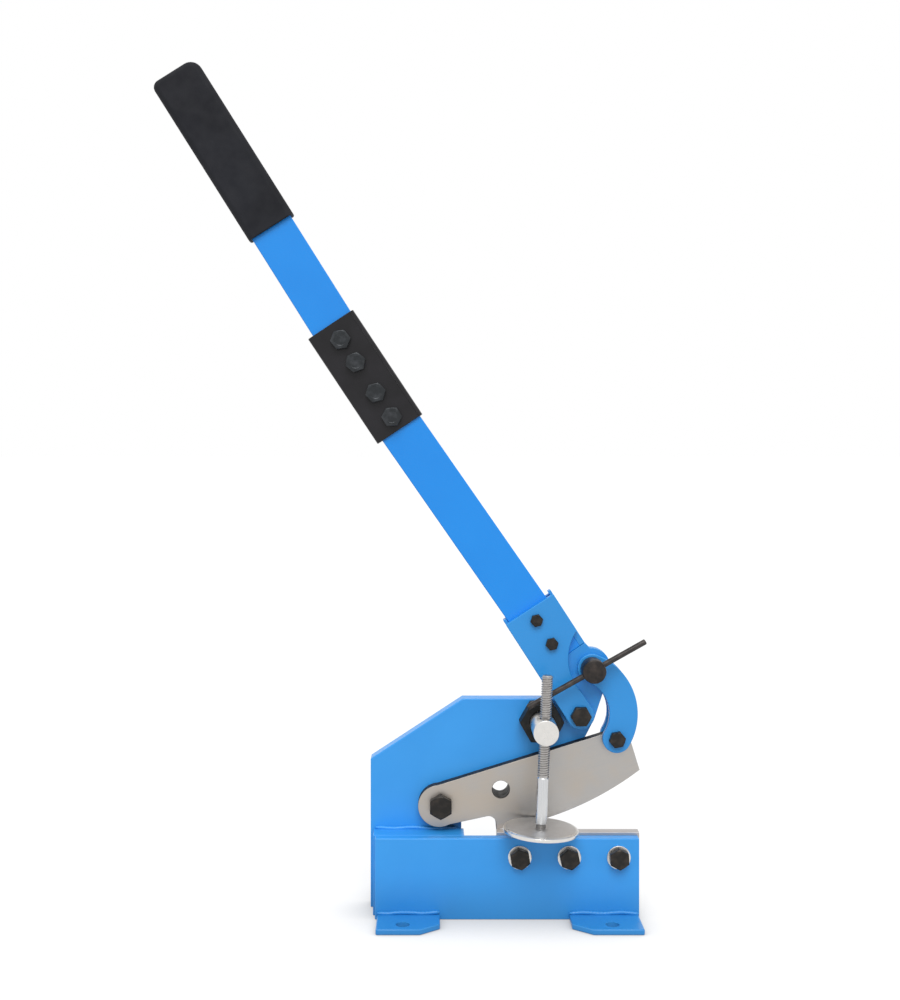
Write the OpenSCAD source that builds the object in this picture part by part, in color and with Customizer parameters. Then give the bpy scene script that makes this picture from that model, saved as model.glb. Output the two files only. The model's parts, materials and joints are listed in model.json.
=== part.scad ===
// Bench lever shear with a curved link drive, a two-piece handle and a screw hold-down.
// Units are millimetres. The origin is the centre of the four base holes on the floor.
// X runs along the blades to the tip, Y runs from the front to the back, Z is up.

/* [Frame] */
// Length of the low front plate along X
front_len = 230; // [190:1:270]
// Height of the front plate and of the spacer block
front_h = 70.5; // [60:0.5:72]
// Thickness of the front plate
front_t = 10; // [6:0.5:14]
// Height of the rear plate
frame_h = 186; // [180:1:196]
// Thickness of the rear plate
rear_t = 16; // [10:0.5:20]
// Width of the rear plate's column
column_w = 81; // [70:1:90]
// Length of the spacer block along X
spacer_len = 80; // [76:1:93]

/* [Feet] */
// Thickness of the feet
foot_t = 5; // [4:0.5:10]
// Depth of a foot in front of its plate
foot_depth = 36; // [34:1:46]
// Diameter of the base holes
base_hole_d = 12; // [8:0.5:14]
// Distance of the base holes along X
base_hole_x = 178.4; // [170:0.1:188]
// Distance of the base holes along Y
base_hole_y = 94; // [84:0.5:98]
// Leg length of the weld beads
weld_leg = 2.5; // [1.5:0.1:2.6]

/* [Blades] */
// Length of the lower blade
blade_len = 125; // [110:1:135]
// Height of the lower blade
lower_h = 35; // [30:0.5:45]
// Height of the lower blade's edge above the front plate
edge_rise = 2.5; // [1:0.1:3]
// Thickness of the lower blade
lower_t = 10; // [6:0.5:12]
// Thickness of the moving blade, the crank plate and the handle bars
moving_t = 10; // [8:0.5:12]
// Radius of the moving blade's rounded end
pivot_r = 18.5; // [17:0.5:20]
// Length of the moving blade from its pivot
moving_len = 177.5; // [174:0.5:182]
// Radius of the curved cutting edge
edge_r = 273; // [225:1:300]
// Diameter of the round bar hole
bar_hole_d = 15.5; // [8:0.5:18]

/* [Lever] */
// Width of the handle socket
socket_w = 50; // [49.5:0.5:54]
// Thickness of the socket's cheeks
cheek_t = 6; // [4:0.5:8]
// Distance of the socket's top from the fulcrum
socket_top = 103; // [98:1:120]
// Radius of the link plates' ends, half of their width
link_r = 12.5; // [10:0.5:13]
// Thickness of a link plate
link_t = 6; // [4:0.5:6]
// Radius of the link's centre line
link_bend = 43; // [41:0.5:50]

/* [Handle] */
// Length of the lower handle bar
lower_bar_len = 303; // [270:1:340]
// Length of the upper handle bar
upper_bar_len = 315; // [270:1:360]
// Width of the flat handle bars
bar_w = 40; // [34:0.5:41]
// Length of the coupling sleeve
sleeve_len = 111; // [104:1:130]
// Width of the coupling sleeve
sleeve_w = 47.6; // [47:0.1:54]
// Length of the rubber grip
grip_len = 164; // [130:1:180]
// Width of the rubber grip
grip_w = 46; // [44:0.5:54]
// Depth of the rubber grip, front to back
grip_t = 18; // [16:0.5:26]

/* [Hold-down] */
// Diameter of the clamp stud
stud_d = 22; // [20:0.5:24]
// Diameter of the clamp screw
screw_d = 10; // [8:0.5:12]
// Length of the clamp screw
screw_len = 134; // [118:1:150]
// Diameter of the clamp foot
clamp_foot_d = 65; // [50:1:66]
// Thickness of the clamp foot
clamp_foot_t = 3.8; // [3:0.1:10]

/* [Hidden] */
$fn = 64;
// running clearance of a shaft in its hole, on the radius
fit = 0.05;
// gap between faces that slide past each other
gap = 0.3;
// gap between the two blades at the shear plane
shear_gap = 0.1;

// layers from front to back
y_shear = -3;
y_lower = y_shear - lower_t;
y_front = y_lower - front_t;
y_move = y_shear + shear_gap;
y_move_back = y_move + moving_t;
y_rear = y_move_back + gap;
y_back = y_rear + rear_t;
y_cheek = y_move - cheek_t;
y_cheek_back = y_move_back + cheek_t;
y_link = y_move - gap - link_t;
y_link_back = y_move_back + gap + link_t;
front_y = y_front - foot_depth;
back_y = y_back + foot_depth;

// pivots in the X Z plane
pivot = [-56.5, 93.5];
fulcrum = [66.6, 174.3];
crank_pin = [76.6, 216];
blade_pin = [98.5, 153.8];
stud_at = [32.7, 167.9];
bar_hole = [-3.3, 107.9];

// frame outline
frame_left = -119;
front_left = -114;
column_right = frame_left + column_w;
shoulder = [-37, frame_h];
shoulder_drop = 53.5;
shoulder_low = [frame_left, frame_h - shoulder_drop];
throat_top = 84;
arm_low = [16, 86];
arm_tip = [72.6, 152];
nose_r = 15.5;
nose_turn = 27;
throat_r = 9;
spacer_left = -116;

// feet outline
foot_left = [-112, -57.5];
foot_right = [55, 115];
foot_cut = [17, 13];

// lower blade
lower_left = -7.5;
lower_top = front_h + edge_rise;
lower_bolt_x = [lower_left + 19.5, lower_left + blade_len / 2, lower_left + blade_len - 19.5];
lower_bolt_z = lower_top - 18.7;

// moving blade: t runs along its back edge, n is square to it
blade_tilt = 17.2;
blade_t = [cos(blade_tilt), sin(blade_tilt)];
blade_n = [-sin(blade_tilt), cos(blade_tilt)];
back_edge = 18;
hook = [-7.3, 72.4];
tip = [117.2, 123.4];
neck_slope = 12.2;
notch_c = [-14.1, 77.7];
notch_r = 6.5;
hook_lean = 2.7;
ear_r = 10;
heel_shift = 1.6;

// lever: u runs up the socket, v runs to its right
lean = 33;
lever_u = [-sin(lean), cos(lean)];
lever_v = [cos(lean), sin(lean)];
socket_v = 13.2;
wall = 3;
wall_rise = 3.5;
wall_slack = 0.5;
wall_foot = (socket_w - bar_w) / 2 - wall - wall_slack;
wall_foot_h = 12;
crank_r = 13.5;
crank_pin_r = 17;
strap_r = 12;
cut_r = 44;
cut_u = 24;
cut_bite = 0.8;
cheek_low = 60;
rear_cheek_low = 48;
screw_edge = 11.4;
screw_pitch = 24.6;
screw_u = [socket_top - screw_edge - screw_pitch, socket_top - screw_edge];
slack_c = [-0.75, -4.08];
slack_r = 8.5;

// handle
bar_foot_u = 50;
bar_low_lean = 34.85;
bar_up_lean = 32.2;
sleeve_lean = 33.6;
sleeve_wall = 2.1;
sleeve_round = 4;
sleeve_bolts = [39, 15, -17, -42.5];
bar_end_gap = 1;
grip_cap = 4;
grip_corner_left = 7;
grip_corner_right = 11;

// fasteners
m6_r = 3;
m8_r = 4;
m10_r = 5;
m12_r = 6;
m6_flats = 10;
m8_flats = 13;
m10_flats = 16;
m12_flats = 19;
stud_nut_flats = 34;
m6_head = 4;
m8_head = 5.3;
m10_head = 6.4;
m12_head = 7.5;
m8_nut = 6.5;
m10_nut = 8;
m12_nut = 10;
bolt_end = 2.5;
bush_a_r = 9;
bush_b_r = 7;
washer_r = 10.25;
washer_t = 2;

// hold-down
screw_tilt = 2.5;
y_screw = -38;
stud_front = y_screw - 12;
flange_r = 16;
flange_t = 8;
nut_t = 18;
foot_low = -87;
neck_from = 0.4;
neck_h = 3.1;
neck_step = 1;

// tommy bar
tommy_r = 2.5;
tommy_tilt = 29.3;
tommy_right = 52;
tommy_left = 66;
y_tommy = -20;
pin_head_r = 10.3;
pin_front = y_tommy - 8;

function along(p, dir, d) = [p[0] + dir[0] * d, p[1] + dir[1] * d];
function lever_pt(u, v) = along(along(fulcrum, lever_u, u), lever_v, v);
function lean_dir(a) = [-sin(a), cos(a)];
function arc_centre(p, q, r) =
    let (m = (p + q) / 2, c = q - p, d = norm(c), h = sqrt(r * r - d * d / 4))
    [m[0] - c[1] / d * h, m[1] + c[0] / d * h];

edge_c = arc_centre(hook, tip, edge_r);
link_c = arc_centre(blade_pin, crank_pin, link_bend);
sleeve_u = lean_dir(sleeve_lean);
bar_low_at = lever_pt(bar_foot_u, socket_v);
sleeve_at = along(bar_low_at, lean_dir(bar_low_lean), lower_bar_len + bar_end_gap);
bar_up_at = along(sleeve_at, sleeve_u, bar_end_gap);
grip_start = upper_bar_len + grip_cap - grip_len;

// a profile drawn in the X Z plane, made into a plate from y0 to y1
module plate(y0, y1) {
    translate([0, y1, 0]) rotate([90, 0, 0]) linear_extrude(y1 - y0) children();
}

// a round bar along Y
module rod(p, r, y0, y1) {
    translate([p[0], y1, p[1]]) rotate([90, 0, 0]) cylinder(h = y1 - y0, r = r);
}

// a hexagon along Y, given across its flats
module hex(p, flats, y0, y1, turn = 0) {
    translate([p[0], y1, p[1]]) rotate([90, 0, 0]) rotate([0, 0, turn])
        cylinder(h = y1 - y0, d = flats / cos(30), $fn = 6);
}

// a hexagon bolt with its head in front of y0 and its end at y1
module bolt(p, r, flats, head, y0, y1, turn = 0) {
    union() {
        hex(p, flats, y0 - head, y0, turn);
        rod(p, r, y0, y1);
    }
}

// a hexagon nut with a round hole
module nut(p, r, flats, y0, y1, turn = 0) {
    difference() {
        hex(p, flats, y0, y1, turn);
        rod(p, r + fit, y0 - 1, y1 + 1);
    }
}

// the web between two round ends, tangent to both
module web(p, rp, q, rq) {
    d = norm(q - p);
    a = atan2(q[1] - p[1], q[0] - p[0]);
    s = asin((rp - rq) / d);
    n1 = [cos(a + 90 - s), sin(a + 90 - s)];
    n2 = [cos(a - 90 + s), sin(a - 90 + s)];
    polygon([along(p, n1, rp), along(p, n2, rp), along(q, n2, rq), along(q, n1, rq)]);
}

module disc(p, r) {
    translate(p) circle(r);
}

module rear_plate() {
    color([0.27, 0.62, 0.91])
    difference() {
        plate(y_rear, y_back) rear_outline();
        rod(pivot, m12_r + fit, y_rear - 1, y_back + 1);
        rod(fulcrum, m10_r + fit, y_rear - 1, y_back + 1);
        rod(stud_at, stud_d / 2 + fit, y_rear - 1, y_back + 1);
        rod(bar_hole, bar_hole_d / 2, y_rear - 1, y_back + 1);
    }
}

module rear_outline() {
    difference() {
        union() {
            polygon([
                [frame_left, 0], [column_right, 0], [column_right, throat_top],
                arm_low, arm_tip, along(fulcrum, [cos(nose_turn), -sin(nose_turn)], nose_r),
                fulcrum, [fulcrum[0], frame_h],
                shoulder, shoulder_low
            ]);
            intersection() {
                disc(fulcrum, nose_r);
                translate([fulcrum[0] - nose_r, fulcrum[1] - nose_r])
                    square([2 * nose_r, nose_r + frame_h - fulcrum[1]]);
            }
            throat_fillet();
        }
    }
}

// the rounded inner corner of the throat
module throat_fillet() {
    difference() {
        translate([column_right - 1, throat_top - throat_r]) square([throat_r + 1, throat_r + 0.2]);
        disc([column_right + throat_r, throat_top - throat_r], throat_r);
    }
}

module front_plate() {
    color([0.27, 0.63, 0.92])
    difference() {
        translate([front_left, y_front, 0]) cube([front_len, front_t, front_h]);
        for (x = lower_bolt_x) rod([x, lower_bolt_z], m10_r + fit, y_front - 1, y_lower + 1);
    }
}

module spacer_block() {
    color([0.25, 0.58, 0.86])
    translate([spacer_left, y_lower, 0]) cube([spacer_len, y_rear - y_lower, front_h]);
}

// the triangle that is cut off a foot's corner at x and y, towards dx and dy
function corner(x, y, dx, dy) = [
    [x - dx, y - dy], [x + dx * foot_cut[0], y - dy], [x + dx * foot_cut[0], y],
    [x, y + dy * foot_cut[1]], [x - dx, y + dy * foot_cut[1]]
];

module foot(x0, x1, y0, y1, hole, cut) {
    difference() {
        linear_extrude(foot_t) difference() {
            translate([x0, y0]) square([x1 - x0, y1 - y0]);
            polygon(cut);
        }
        translate([hole[0], hole[1], -1]) cylinder(h = foot_t + 2, d = base_hole_d);
    }
}

module front_left_foot() {
    x = foot_left[1];
    color([0.22, 0.56, 0.86])
    foot(foot_left[0], x, front_y, y_front, [-base_hole_x / 2, -base_hole_y / 2],
        corner(x, front_y, -1, 1));
}

module front_right_foot() {
    x = foot_right[0];
    color([0.22, 0.56, 0.86])
    foot(x, foot_right[1], front_y, y_front, [base_hole_x / 2, -base_hole_y / 2],
        corner(x, front_y, 1, 1));
}

module rear_left_foot() {
    x = foot_left[1];
    color([0.22, 0.56, 0.86])
    foot(foot_left[0], x, y_back, back_y, [-base_hole_x / 2, base_hole_y / 2],
        corner(x, back_y, -1, -1));
}

module rear_right_foot() {
    x = foot_right[0];
    color([0.22, 0.56, 0.86])
    foot(x, foot_right[1], y_lower, back_y, [base_hole_x / 2, base_hole_y / 2],
        corner(x, back_y, 1, -1));
}

// a fillet bead along X in the corner of a wall at y and a floor at z
module bead(x0, x1, y, z, side) {
    translate([x0, y, z]) rotate([90, 0, 90]) linear_extrude(x1 - x0)
        polygon([[0, 0], [side * weld_leg, 0], [0, weld_leg]]);
}

module frame_welds() {
    color([0.3, 0.62, 0.9]) {
        bead(front_left + 3, column_right - 4, y_rear, front_h, -1);
        bead(foot_left[0], foot_left[1], y_front, foot_t, -1);
        bead(foot_right[0], foot_right[1], y_front, foot_t, -1);
        bead(foot_left[0], foot_left[1], y_back, foot_t, 1);
        bead(foot_right[0], foot_right[1], y_lower, foot_t, 1);
    }
}

module lower_blade() {
    color([0.72, 0.7, 0.68])
    difference() {
        translate([lower_left, y_lower, lower_top - lower_h]) cube([blade_len, lower_t, lower_h]);
        for (x = lower_bolt_x) rod([x, lower_bolt_z], m10_r + fit, y_lower - 1, y_shear + 1);
    }
}

module lower_blade_bolts() {
    color([0.16, 0.16, 0.16])
    for (x = lower_bolt_x)
        bolt([x, lower_bolt_z], m10_r, m10_flats, m10_head, y_front - washer_t, y_shear - 1, 30);
}

module lower_blade_washers() {
    color([0.5, 0.52, 0.55])
    for (x = lower_bolt_x) difference() {
        rod([x, lower_bolt_z], washer_r, y_front - washer_t, y_front);
        rod([x, lower_bolt_z], m10_r + fit, y_front - washer_t - 1, y_front + 1);
    }
}

module pivot_bush() {
    color([0.7, 0.55, 0.3])
    difference() {
        rod(pivot, bush_a_r, y_move - gap, y_rear);
        rod(pivot, m12_r + fit, y_move - gap - 1, y_rear + 1);
    }
}

module pivot_bolt() {
    color([0.16, 0.16, 0.16])
    bolt(pivot, m12_r, m12_flats, m12_head, y_move - gap, y_back + m12_nut + bolt_end, 30);
}

module pivot_nut() {
    color([0.16, 0.16, 0.16])
    nut(pivot, m12_r, m12_flats, y_back, y_back + m12_nut, 20);
}

module fulcrum_bush() {
    color([0.7, 0.55, 0.3])
    difference() {
        rod(fulcrum, bush_b_r, y_cheek - gap, y_rear);
        rod(fulcrum, m10_r + fit, y_cheek - gap - 1, y_rear + 1);
    }
}

module fulcrum_bolt() {
    color([0.16, 0.16, 0.16])
    bolt(fulcrum, m10_r, m10_flats, m10_head, y_cheek - gap, y_back + m10_nut + bolt_end, 0);
}

module fulcrum_nut() {
    color([0.16, 0.16, 0.16])
    nut(fulcrum, m10_r, m10_flats, y_back, y_back + m10_nut, 5);
}

module moving_blade() {
    color([0.7, 0.66, 0.62])
    difference() {
        union() {
            plate(y_move, y_move_back) blade_outline();
            rod(along(pivot, blade_t, -heel_shift), pivot_r, y_move, y_move_back);
            rod(blade_pin, ear_r, y_move, y_move_back);
        }
        rod(pivot, bush_a_r + fit, y_move - 1, y_move_back + 1);
        rod(blade_pin, m8_r + fit, y_move - 1, y_move_back + 1);
        rod(bar_hole, bar_hole_d / 2, y_move - 1, y_move_back + 1);
    }
}

module blade_outline() {
    far = along(pivot, blade_t, moving_len);
    deep = hook[1] / 2;
    difference() {
        intersection() {
            polygon([
                pivot, along(pivot, blade_n, back_edge), along(far, blade_n, back_edge),
                along(far, blade_n, -deep), [hook[0], deep], [pivot[0], deep]
            ]);
            disc(edge_c, edge_r);
        }
        notch();
    }
}

// the throat under the blade's neck, with a rounded top corner
module notch() {
    up = [-sin(neck_slope), cos(neck_slope)];
    left = [-cos(neck_slope), -sin(neck_slope)];
    t1 = along(notch_c, up, notch_r);
    t2 = along(t1, left, moving_len / 3);
    deep = hook[1] / 2;
    union() {
        polygon([
            t1, [notch_c[0] + notch_r * 0.986, notch_c[1] + notch_r * 0.168], hook,
            [hook[0] + hook_lean, hook[1] - deep], t2 - [0, deep], t2
        ]);
        disc(notch_c, notch_r);
    }
}

module crank_plate() {
    side = [cos(bar_low_lean), sin(bar_low_lean)];
    color([0.23, 0.56, 0.83])
    difference() {
        union() {
            rod(fulcrum, crank_r, y_move, y_move_back);
            rod(crank_pin, crank_pin_r, y_move, y_move_back);
            plate(y_move, y_move_back) web(fulcrum, crank_r, crank_pin, crank_pin_r);
            plate(y_move, y_move_back) polygon([
                lever_pt(0, -strap_r), along(bar_low_at, side, -socket_w / 2),
                along(bar_low_at, side, socket_w / 2), crank_pin + 0.3 * (crank_pin - fulcrum),
                crank_pin, fulcrum
            ]);
        }
        rod(fulcrum, bush_b_r + fit, y_move - 1, y_move_back + 1);
        rod(crank_pin + slack_c, slack_r, y_move - 1, y_move_back + 1);
    }
}

module front_cheek() {
    color([0.27, 0.61, 0.86])
    difference() {
        union() {
            rod(fulcrum, strap_r, y_cheek, y_move);
            plate(y_cheek, y_move) difference() {
                polygon([
                    lever_pt(0, -strap_r), lever_pt(socket_top, socket_v - socket_w / 2),
                    lever_pt(socket_top, socket_v + socket_w / 2),
                    lever_pt(cheek_low, socket_v + socket_w / 2), lever_pt(cut_u - 4, strap_r),
                    lever_pt(0, strap_r)
                ]);
                disc(lever_pt(cut_u, strap_r - cut_bite + cut_r), cut_r);
            }
        }
        rod(fulcrum, bush_b_r + fit, y_cheek - 1, y_move + 1);
        socket_holes();
    }
}

module rear_cheek() {
    color([0.25, 0.58, 0.84])
    difference() {
        plate(y_move_back, y_cheek_back) polygon([
            lever_pt(rear_cheek_low, socket_v - socket_w / 2),
            lever_pt(socket_top, socket_v - socket_w / 2),
            lever_pt(socket_top, socket_v + socket_w / 2),
            lever_pt(rear_cheek_low, socket_v + socket_w / 2)
        ]);
        socket_holes();
    }
}

// the two walls that close the socket left and right of the bar
module socket_sides() {
    color([0.26, 0.6, 0.85])
    plate(y_move, y_move_back) {
        side_wall(socket_v - socket_w / 2, 0);
        side_wall(socket_v + socket_w / 2 - wall, wall_foot);
    }
}

// one wall, with a thicker foot beside the end of the bar
module side_wall(v, foot) {
    low = bar_foot_u + 1;
    top = socket_top + wall_rise;
    union() {
        polygon([lever_pt(low, v), lever_pt(top, v), lever_pt(top, v + wall), lever_pt(low, v + wall)]);
        if (foot > 0) polygon([
            lever_pt(low, v - foot), lever_pt(low + wall_foot_h, v - foot),
            lever_pt(low + wall_foot_h + 2 * foot, v), lever_pt(low + wall_foot_h, v + wall / 2),
            lever_pt(low, v + wall / 2)
        ]);
    }
}

module socket_holes() {
    for (u = screw_u) rod(lever_pt(u, socket_v), m6_r + fit, y_cheek - 1, y_cheek_back + 1);
}

module socket_screws() {
    color([0.16, 0.16, 0.16])
    for (u = screw_u)
        bolt(lever_pt(u, socket_v), m6_r, m6_flats, m6_head, y_cheek, y_cheek_back - 1, 12);
}

// a flat bar along a leaning line
module flat_bar(p, angle, len, extra = 0) {
    w = bar_w / 2 + extra;
    side = [cos(angle), sin(angle)];
    q = along(p, lean_dir(angle), len);
    plate(y_move - extra, y_move_back + extra)
        polygon([along(p, side, -w), along(p, side, w), along(q, side, w), along(q, side, -w)]);
}

module sleeve_holes() {
    for (d = sleeve_bolts)
        rod(along(sleeve_at, sleeve_u, d), m10_r + fit, y_move - 9, y_move_back + 9);
}

module lower_bar() {
    color([0.19, 0.58, 0.93])
    difference() {
        flat_bar(bar_low_at, bar_low_lean, lower_bar_len);
        socket_holes();
        sleeve_holes();
    }
}

module upper_bar() {
    color([0.19, 0.58, 0.93])
    difference() {
        flat_bar(bar_up_at, bar_up_lean, upper_bar_len);
        sleeve_holes();
    }
}

// the frame of a handle piece: Z runs up the handle, X to its right
module on_handle(p, angle) {
    translate([p[0], (y_move + y_move_back) / 2, p[1]]) rotate([0, -angle, 0]) children();
}

module coupling_sleeve() {
    depth = moving_t + 2 * gap;
    color([0.2, 0.2, 0.22])
    difference() {
        on_handle(sleeve_at, sleeve_lean) difference() {
            translate([0, 0, -sleeve_len / 2]) linear_extrude(sleeve_len)
                sleeve_section(depth / 2 + sleeve_wall);
            translate([-sleeve_w / 2 + sleeve_wall, -depth / 2, -sleeve_len / 2 - 1])
                cube([sleeve_w - 2 * sleeve_wall, depth, sleeve_len + 2]);
        }
        sleeve_holes();
    }
}

// the sleeve's outer section, rounded along its right edges
module sleeve_section(half) {
    w = sleeve_w / 2;
    r = sleeve_round;
    union() {
        translate([-w, -half]) square([sleeve_w - r, 2 * half]);
        translate([-w, -half + r]) square([sleeve_w, 2 * (half - r)]);
        disc([w - r, -half + r], r);
        disc([w - r, half - r], r);
    }
}

module coupling_bolts() {
    color([0.16, 0.16, 0.16])
    for (d = sleeve_bolts)
        bolt(along(sleeve_at, sleeve_u, d), m10_r, m10_flats, m10_head,
            y_move - gap - sleeve_wall, y_move_back + gap + sleeve_wall + m10_nut + bolt_end, 8);
}

module coupling_nuts() {
    y0 = y_move_back + gap + sleeve_wall;
    color([0.16, 0.16, 0.16])
    for (d = sleeve_bolts)
        nut(along(sleeve_at, sleeve_u, d), m10_r, m10_flats, y0, y0 + m10_nut, 22);
}

// the rubber grip, closed at its outer end and hollow for the bar
module grip() {
    color([0.18, 0.19, 0.21])
    difference() {
        on_handle(bar_up_at, bar_up_lean) translate([0, grip_t / 2, 0]) rotate([90, 0, 0])
            linear_extrude(grip_t) grip_outline();
        flat_bar(bar_up_at, bar_up_lean, upper_bar_len, fit);
    }
}

module grip_outline() {
    w = grip_w / 2;
    l = grip_corner_left;
    r = grip_corner_right;
    top = grip_start + grip_len;
    union() {
        translate([-w, grip_start]) square([grip_w, grip_len - r]);
        translate([-w, grip_start]) square([grip_w - r, grip_len - l]);
        translate([-w + l, grip_start]) square([grip_w - l - r, grip_len]);
        disc([-w + l, top - l], l);
        disc([w - r, top - r], r);
    }
}

// the curved link as seen from the front
module link_outline() {
    a = crank_pin - link_c;
    b = blade_pin - link_c;
    far = 3;
    union() {
        intersection() {
            difference() {
                disc(link_c, link_bend + link_r);
                disc(link_c, link_bend - link_r);
            }
            polygon([link_c, link_c + a * far, link_c + (a + b) * far, link_c + b * far]);
        }
        disc(crank_pin, link_r);
        disc(blade_pin, link_r);
    }
}

module link_plate(y0) {
    difference() {
        plate(y0, y0 + link_t) link_outline();
        rod(crank_pin, m8_r + fit, y0 - 1, y0 + link_t + 1);
        rod(blade_pin, m8_r + fit, y0 - 1, y0 + link_t + 1);
    }
}

module front_link() {
    color([0.23, 0.56, 0.82]) link_plate(y_link);
}

module rear_link() {
    color([0.23, 0.56, 0.82]) link_plate(y_move_back + gap);
}

module link_bolt() {
    color([0.16, 0.16, 0.16])
    bolt(blade_pin, m8_r, m8_flats, m8_head, y_link, y_link_back + m8_nut + bolt_end, 10);
}

module link_nut() {
    color([0.16, 0.16, 0.16])
    nut(blade_pin, m8_r, m8_flats, y_link_back, y_link_back + m8_nut, 25);
}

module link_pin() {
    color([0.14, 0.14, 0.15])
    difference() {
        union() {
            rod(crank_pin, pin_head_r, pin_front, y_link - gap);
            rod(crank_pin, m8_r, y_link - gap, y_link_back + gap + m8_nut + bolt_end);
        }
        tommy_line() cylinder(h = 4 * pin_head_r, r = tommy_r + fit, center = true);
    }
}

module link_pin_nut() {
    y0 = y_link_back + gap;
    color([0.16, 0.16, 0.16])
    nut(crank_pin, m8_r, m8_flats, y0, y0 + m8_nut, 5);
}

// the frame of the tommy bar: Z runs along it to the upper right
module tommy_line() {
    translate([crank_pin[0], y_tommy, crank_pin[1]]) rotate([0, 90 - tommy_tilt, 0]) children();
}

module tommy_bar() {
    color([0.14, 0.14, 0.15])
    tommy_line() translate([0, 0, -tommy_left]) cylinder(h = tommy_left + tommy_right, r = tommy_r);
}

// the frame of the hold-down: Z runs up the clamp screw
module hold_down() {
    translate([stud_at[0], y_screw, stud_at[1]]) rotate([0, screw_tilt, 0]) children();
}

module clamp_stud() {
    color([0.8, 0.79, 0.77])
    difference() {
        union() {
            rod(stud_at, stud_d / 2, stud_front, y_back + gap);
            rod(stud_at, flange_r, y_back + gap, y_back + gap + flange_t);
        }
        hold_down() cylinder(h = 2 * stud_d, d = screw_d + 2 * fit, center = true);
    }
}

module clamp_nut() {
    color([0.15, 0.15, 0.15])
    nut(stud_at, stud_d / 2, stud_nut_flats, y_move_back - nut_t, y_move_back, 0);
}

module clamp_screw() {
    shank = clamp_foot_t - neck_from + neck_h;
    color([0.62, 0.61, 0.6])
    hold_down() translate([0, 0, foot_low + neck_from]) union() {
        cylinder(h = shank + 1, d = screw_d - 2 * neck_step);
        translate([0, 0, shank]) cylinder(h = screw_len - shank, d = screw_d);
    }
}

module clamp_foot() {
    color([0.76, 0.75, 0.72])
    hold_down() translate([0, 0, foot_low]) difference() {
        cylinder(h = clamp_foot_t, d = clamp_foot_d);
        translate([0, 0, -1])
            cylinder(h = clamp_foot_t + 2, d = screw_d - 2 * neck_step + 2 * fit);
    }
}

rear_plate();
front_plate();
spacer_block();
front_left_foot();
front_right_foot();
rear_left_foot();
rear_right_foot();
frame_welds();
lower_blade();
lower_blade_bolts();
lower_blade_washers();
pivot_bush();
pivot_bolt();
pivot_nut();
fulcrum_bush();
fulcrum_bolt();
fulcrum_nut();
moving_blade();
crank_plate();
front_cheek();
rear_cheek();
socket_sides();
socket_screws();
lower_bar();
upper_bar();
coupling_sleeve();
coupling_bolts();
coupling_nuts();
grip();
front_link();
rear_link();
link_bolt();
link_nut();
link_pin();
link_pin_nut();
tommy_bar();
clamp_stud();
clamp_nut();
clamp_screw();
clamp_foot();
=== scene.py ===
"""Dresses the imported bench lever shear: softened plates, real fasteners, threads, welds and finishes."""

import json
import logging
import math
import random
from collections.abc import Callable, Iterable, Sequence
from dataclasses import dataclass, field
from enum import Enum

import bpy
from mathutils import Matrix, Vector

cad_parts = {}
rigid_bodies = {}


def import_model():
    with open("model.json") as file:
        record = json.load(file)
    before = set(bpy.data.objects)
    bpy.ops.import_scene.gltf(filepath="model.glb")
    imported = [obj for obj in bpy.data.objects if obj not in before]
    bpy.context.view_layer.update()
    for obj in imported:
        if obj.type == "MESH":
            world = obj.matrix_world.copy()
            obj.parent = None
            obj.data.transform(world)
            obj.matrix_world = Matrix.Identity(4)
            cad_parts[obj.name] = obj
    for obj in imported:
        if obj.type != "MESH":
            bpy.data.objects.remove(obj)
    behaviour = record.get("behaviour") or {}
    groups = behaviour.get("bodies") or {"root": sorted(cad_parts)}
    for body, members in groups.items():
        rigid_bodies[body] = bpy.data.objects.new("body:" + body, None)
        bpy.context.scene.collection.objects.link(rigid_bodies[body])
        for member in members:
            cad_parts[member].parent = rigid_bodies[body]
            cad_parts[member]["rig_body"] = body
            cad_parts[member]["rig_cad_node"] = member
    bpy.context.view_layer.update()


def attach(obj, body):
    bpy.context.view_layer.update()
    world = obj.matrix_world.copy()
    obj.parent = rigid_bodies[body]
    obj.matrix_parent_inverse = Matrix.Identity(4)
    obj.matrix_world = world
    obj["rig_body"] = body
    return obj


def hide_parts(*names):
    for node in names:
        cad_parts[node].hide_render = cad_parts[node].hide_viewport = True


LOG = logging.getLogger("lever_shear")
MM = 0.001
Point = tuple[float, float]


class Slot(Enum):
    """The record's material slots."""

    BLUE_PAINT = "blue_paint"
    GROUND_STEEL = "ground_steel"
    ZINC_STEEL = "zinc_steel"
    BLACK_STEEL = "black_steel"
    BLACK_PAINT = "black_paint"
    BRONZE = "bronze"
    BLACK_RUBBER = "black_rubber"


class Body(Enum):
    """The bodies that move on their own."""

    FRAME = "frame"
    LEVER = "lever"
    BLADE = "blade"
    LINK = "link"
    PIN = "pin"
    TOMMY = "tommy"
    CLAMP = "clamp"
    FOOT = "foot"
    SCREW = "screw"


# hand tools


def clear_selection() -> None:
    """Leave edit mode and deselect everything."""
    if bpy.context.mode != "OBJECT":
        bpy.ops.object.mode_set(mode="OBJECT")
    bpy.ops.object.select_all(action="DESELECT")


def pick(*objs: bpy.types.Object) -> None:
    """Select only these objects, the first one active."""
    clear_selection()
    for obj in objs:
        obj.select_set(True)
    bpy.context.view_layer.objects.active = objs[0]


def edit(obj: bpy.types.Object, select: bool = True) -> None:
    """Open an object in edit mode with all of its mesh selected or none of it."""
    pick(obj)
    bpy.ops.object.mode_set(mode="EDIT")
    bpy.ops.mesh.select_mode(type="VERT")
    bpy.ops.mesh.select_all(action="SELECT" if select else "DESELECT")


def close_edit() -> None:
    """Go back to object mode."""
    bpy.ops.object.mode_set(mode="OBJECT")


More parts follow.
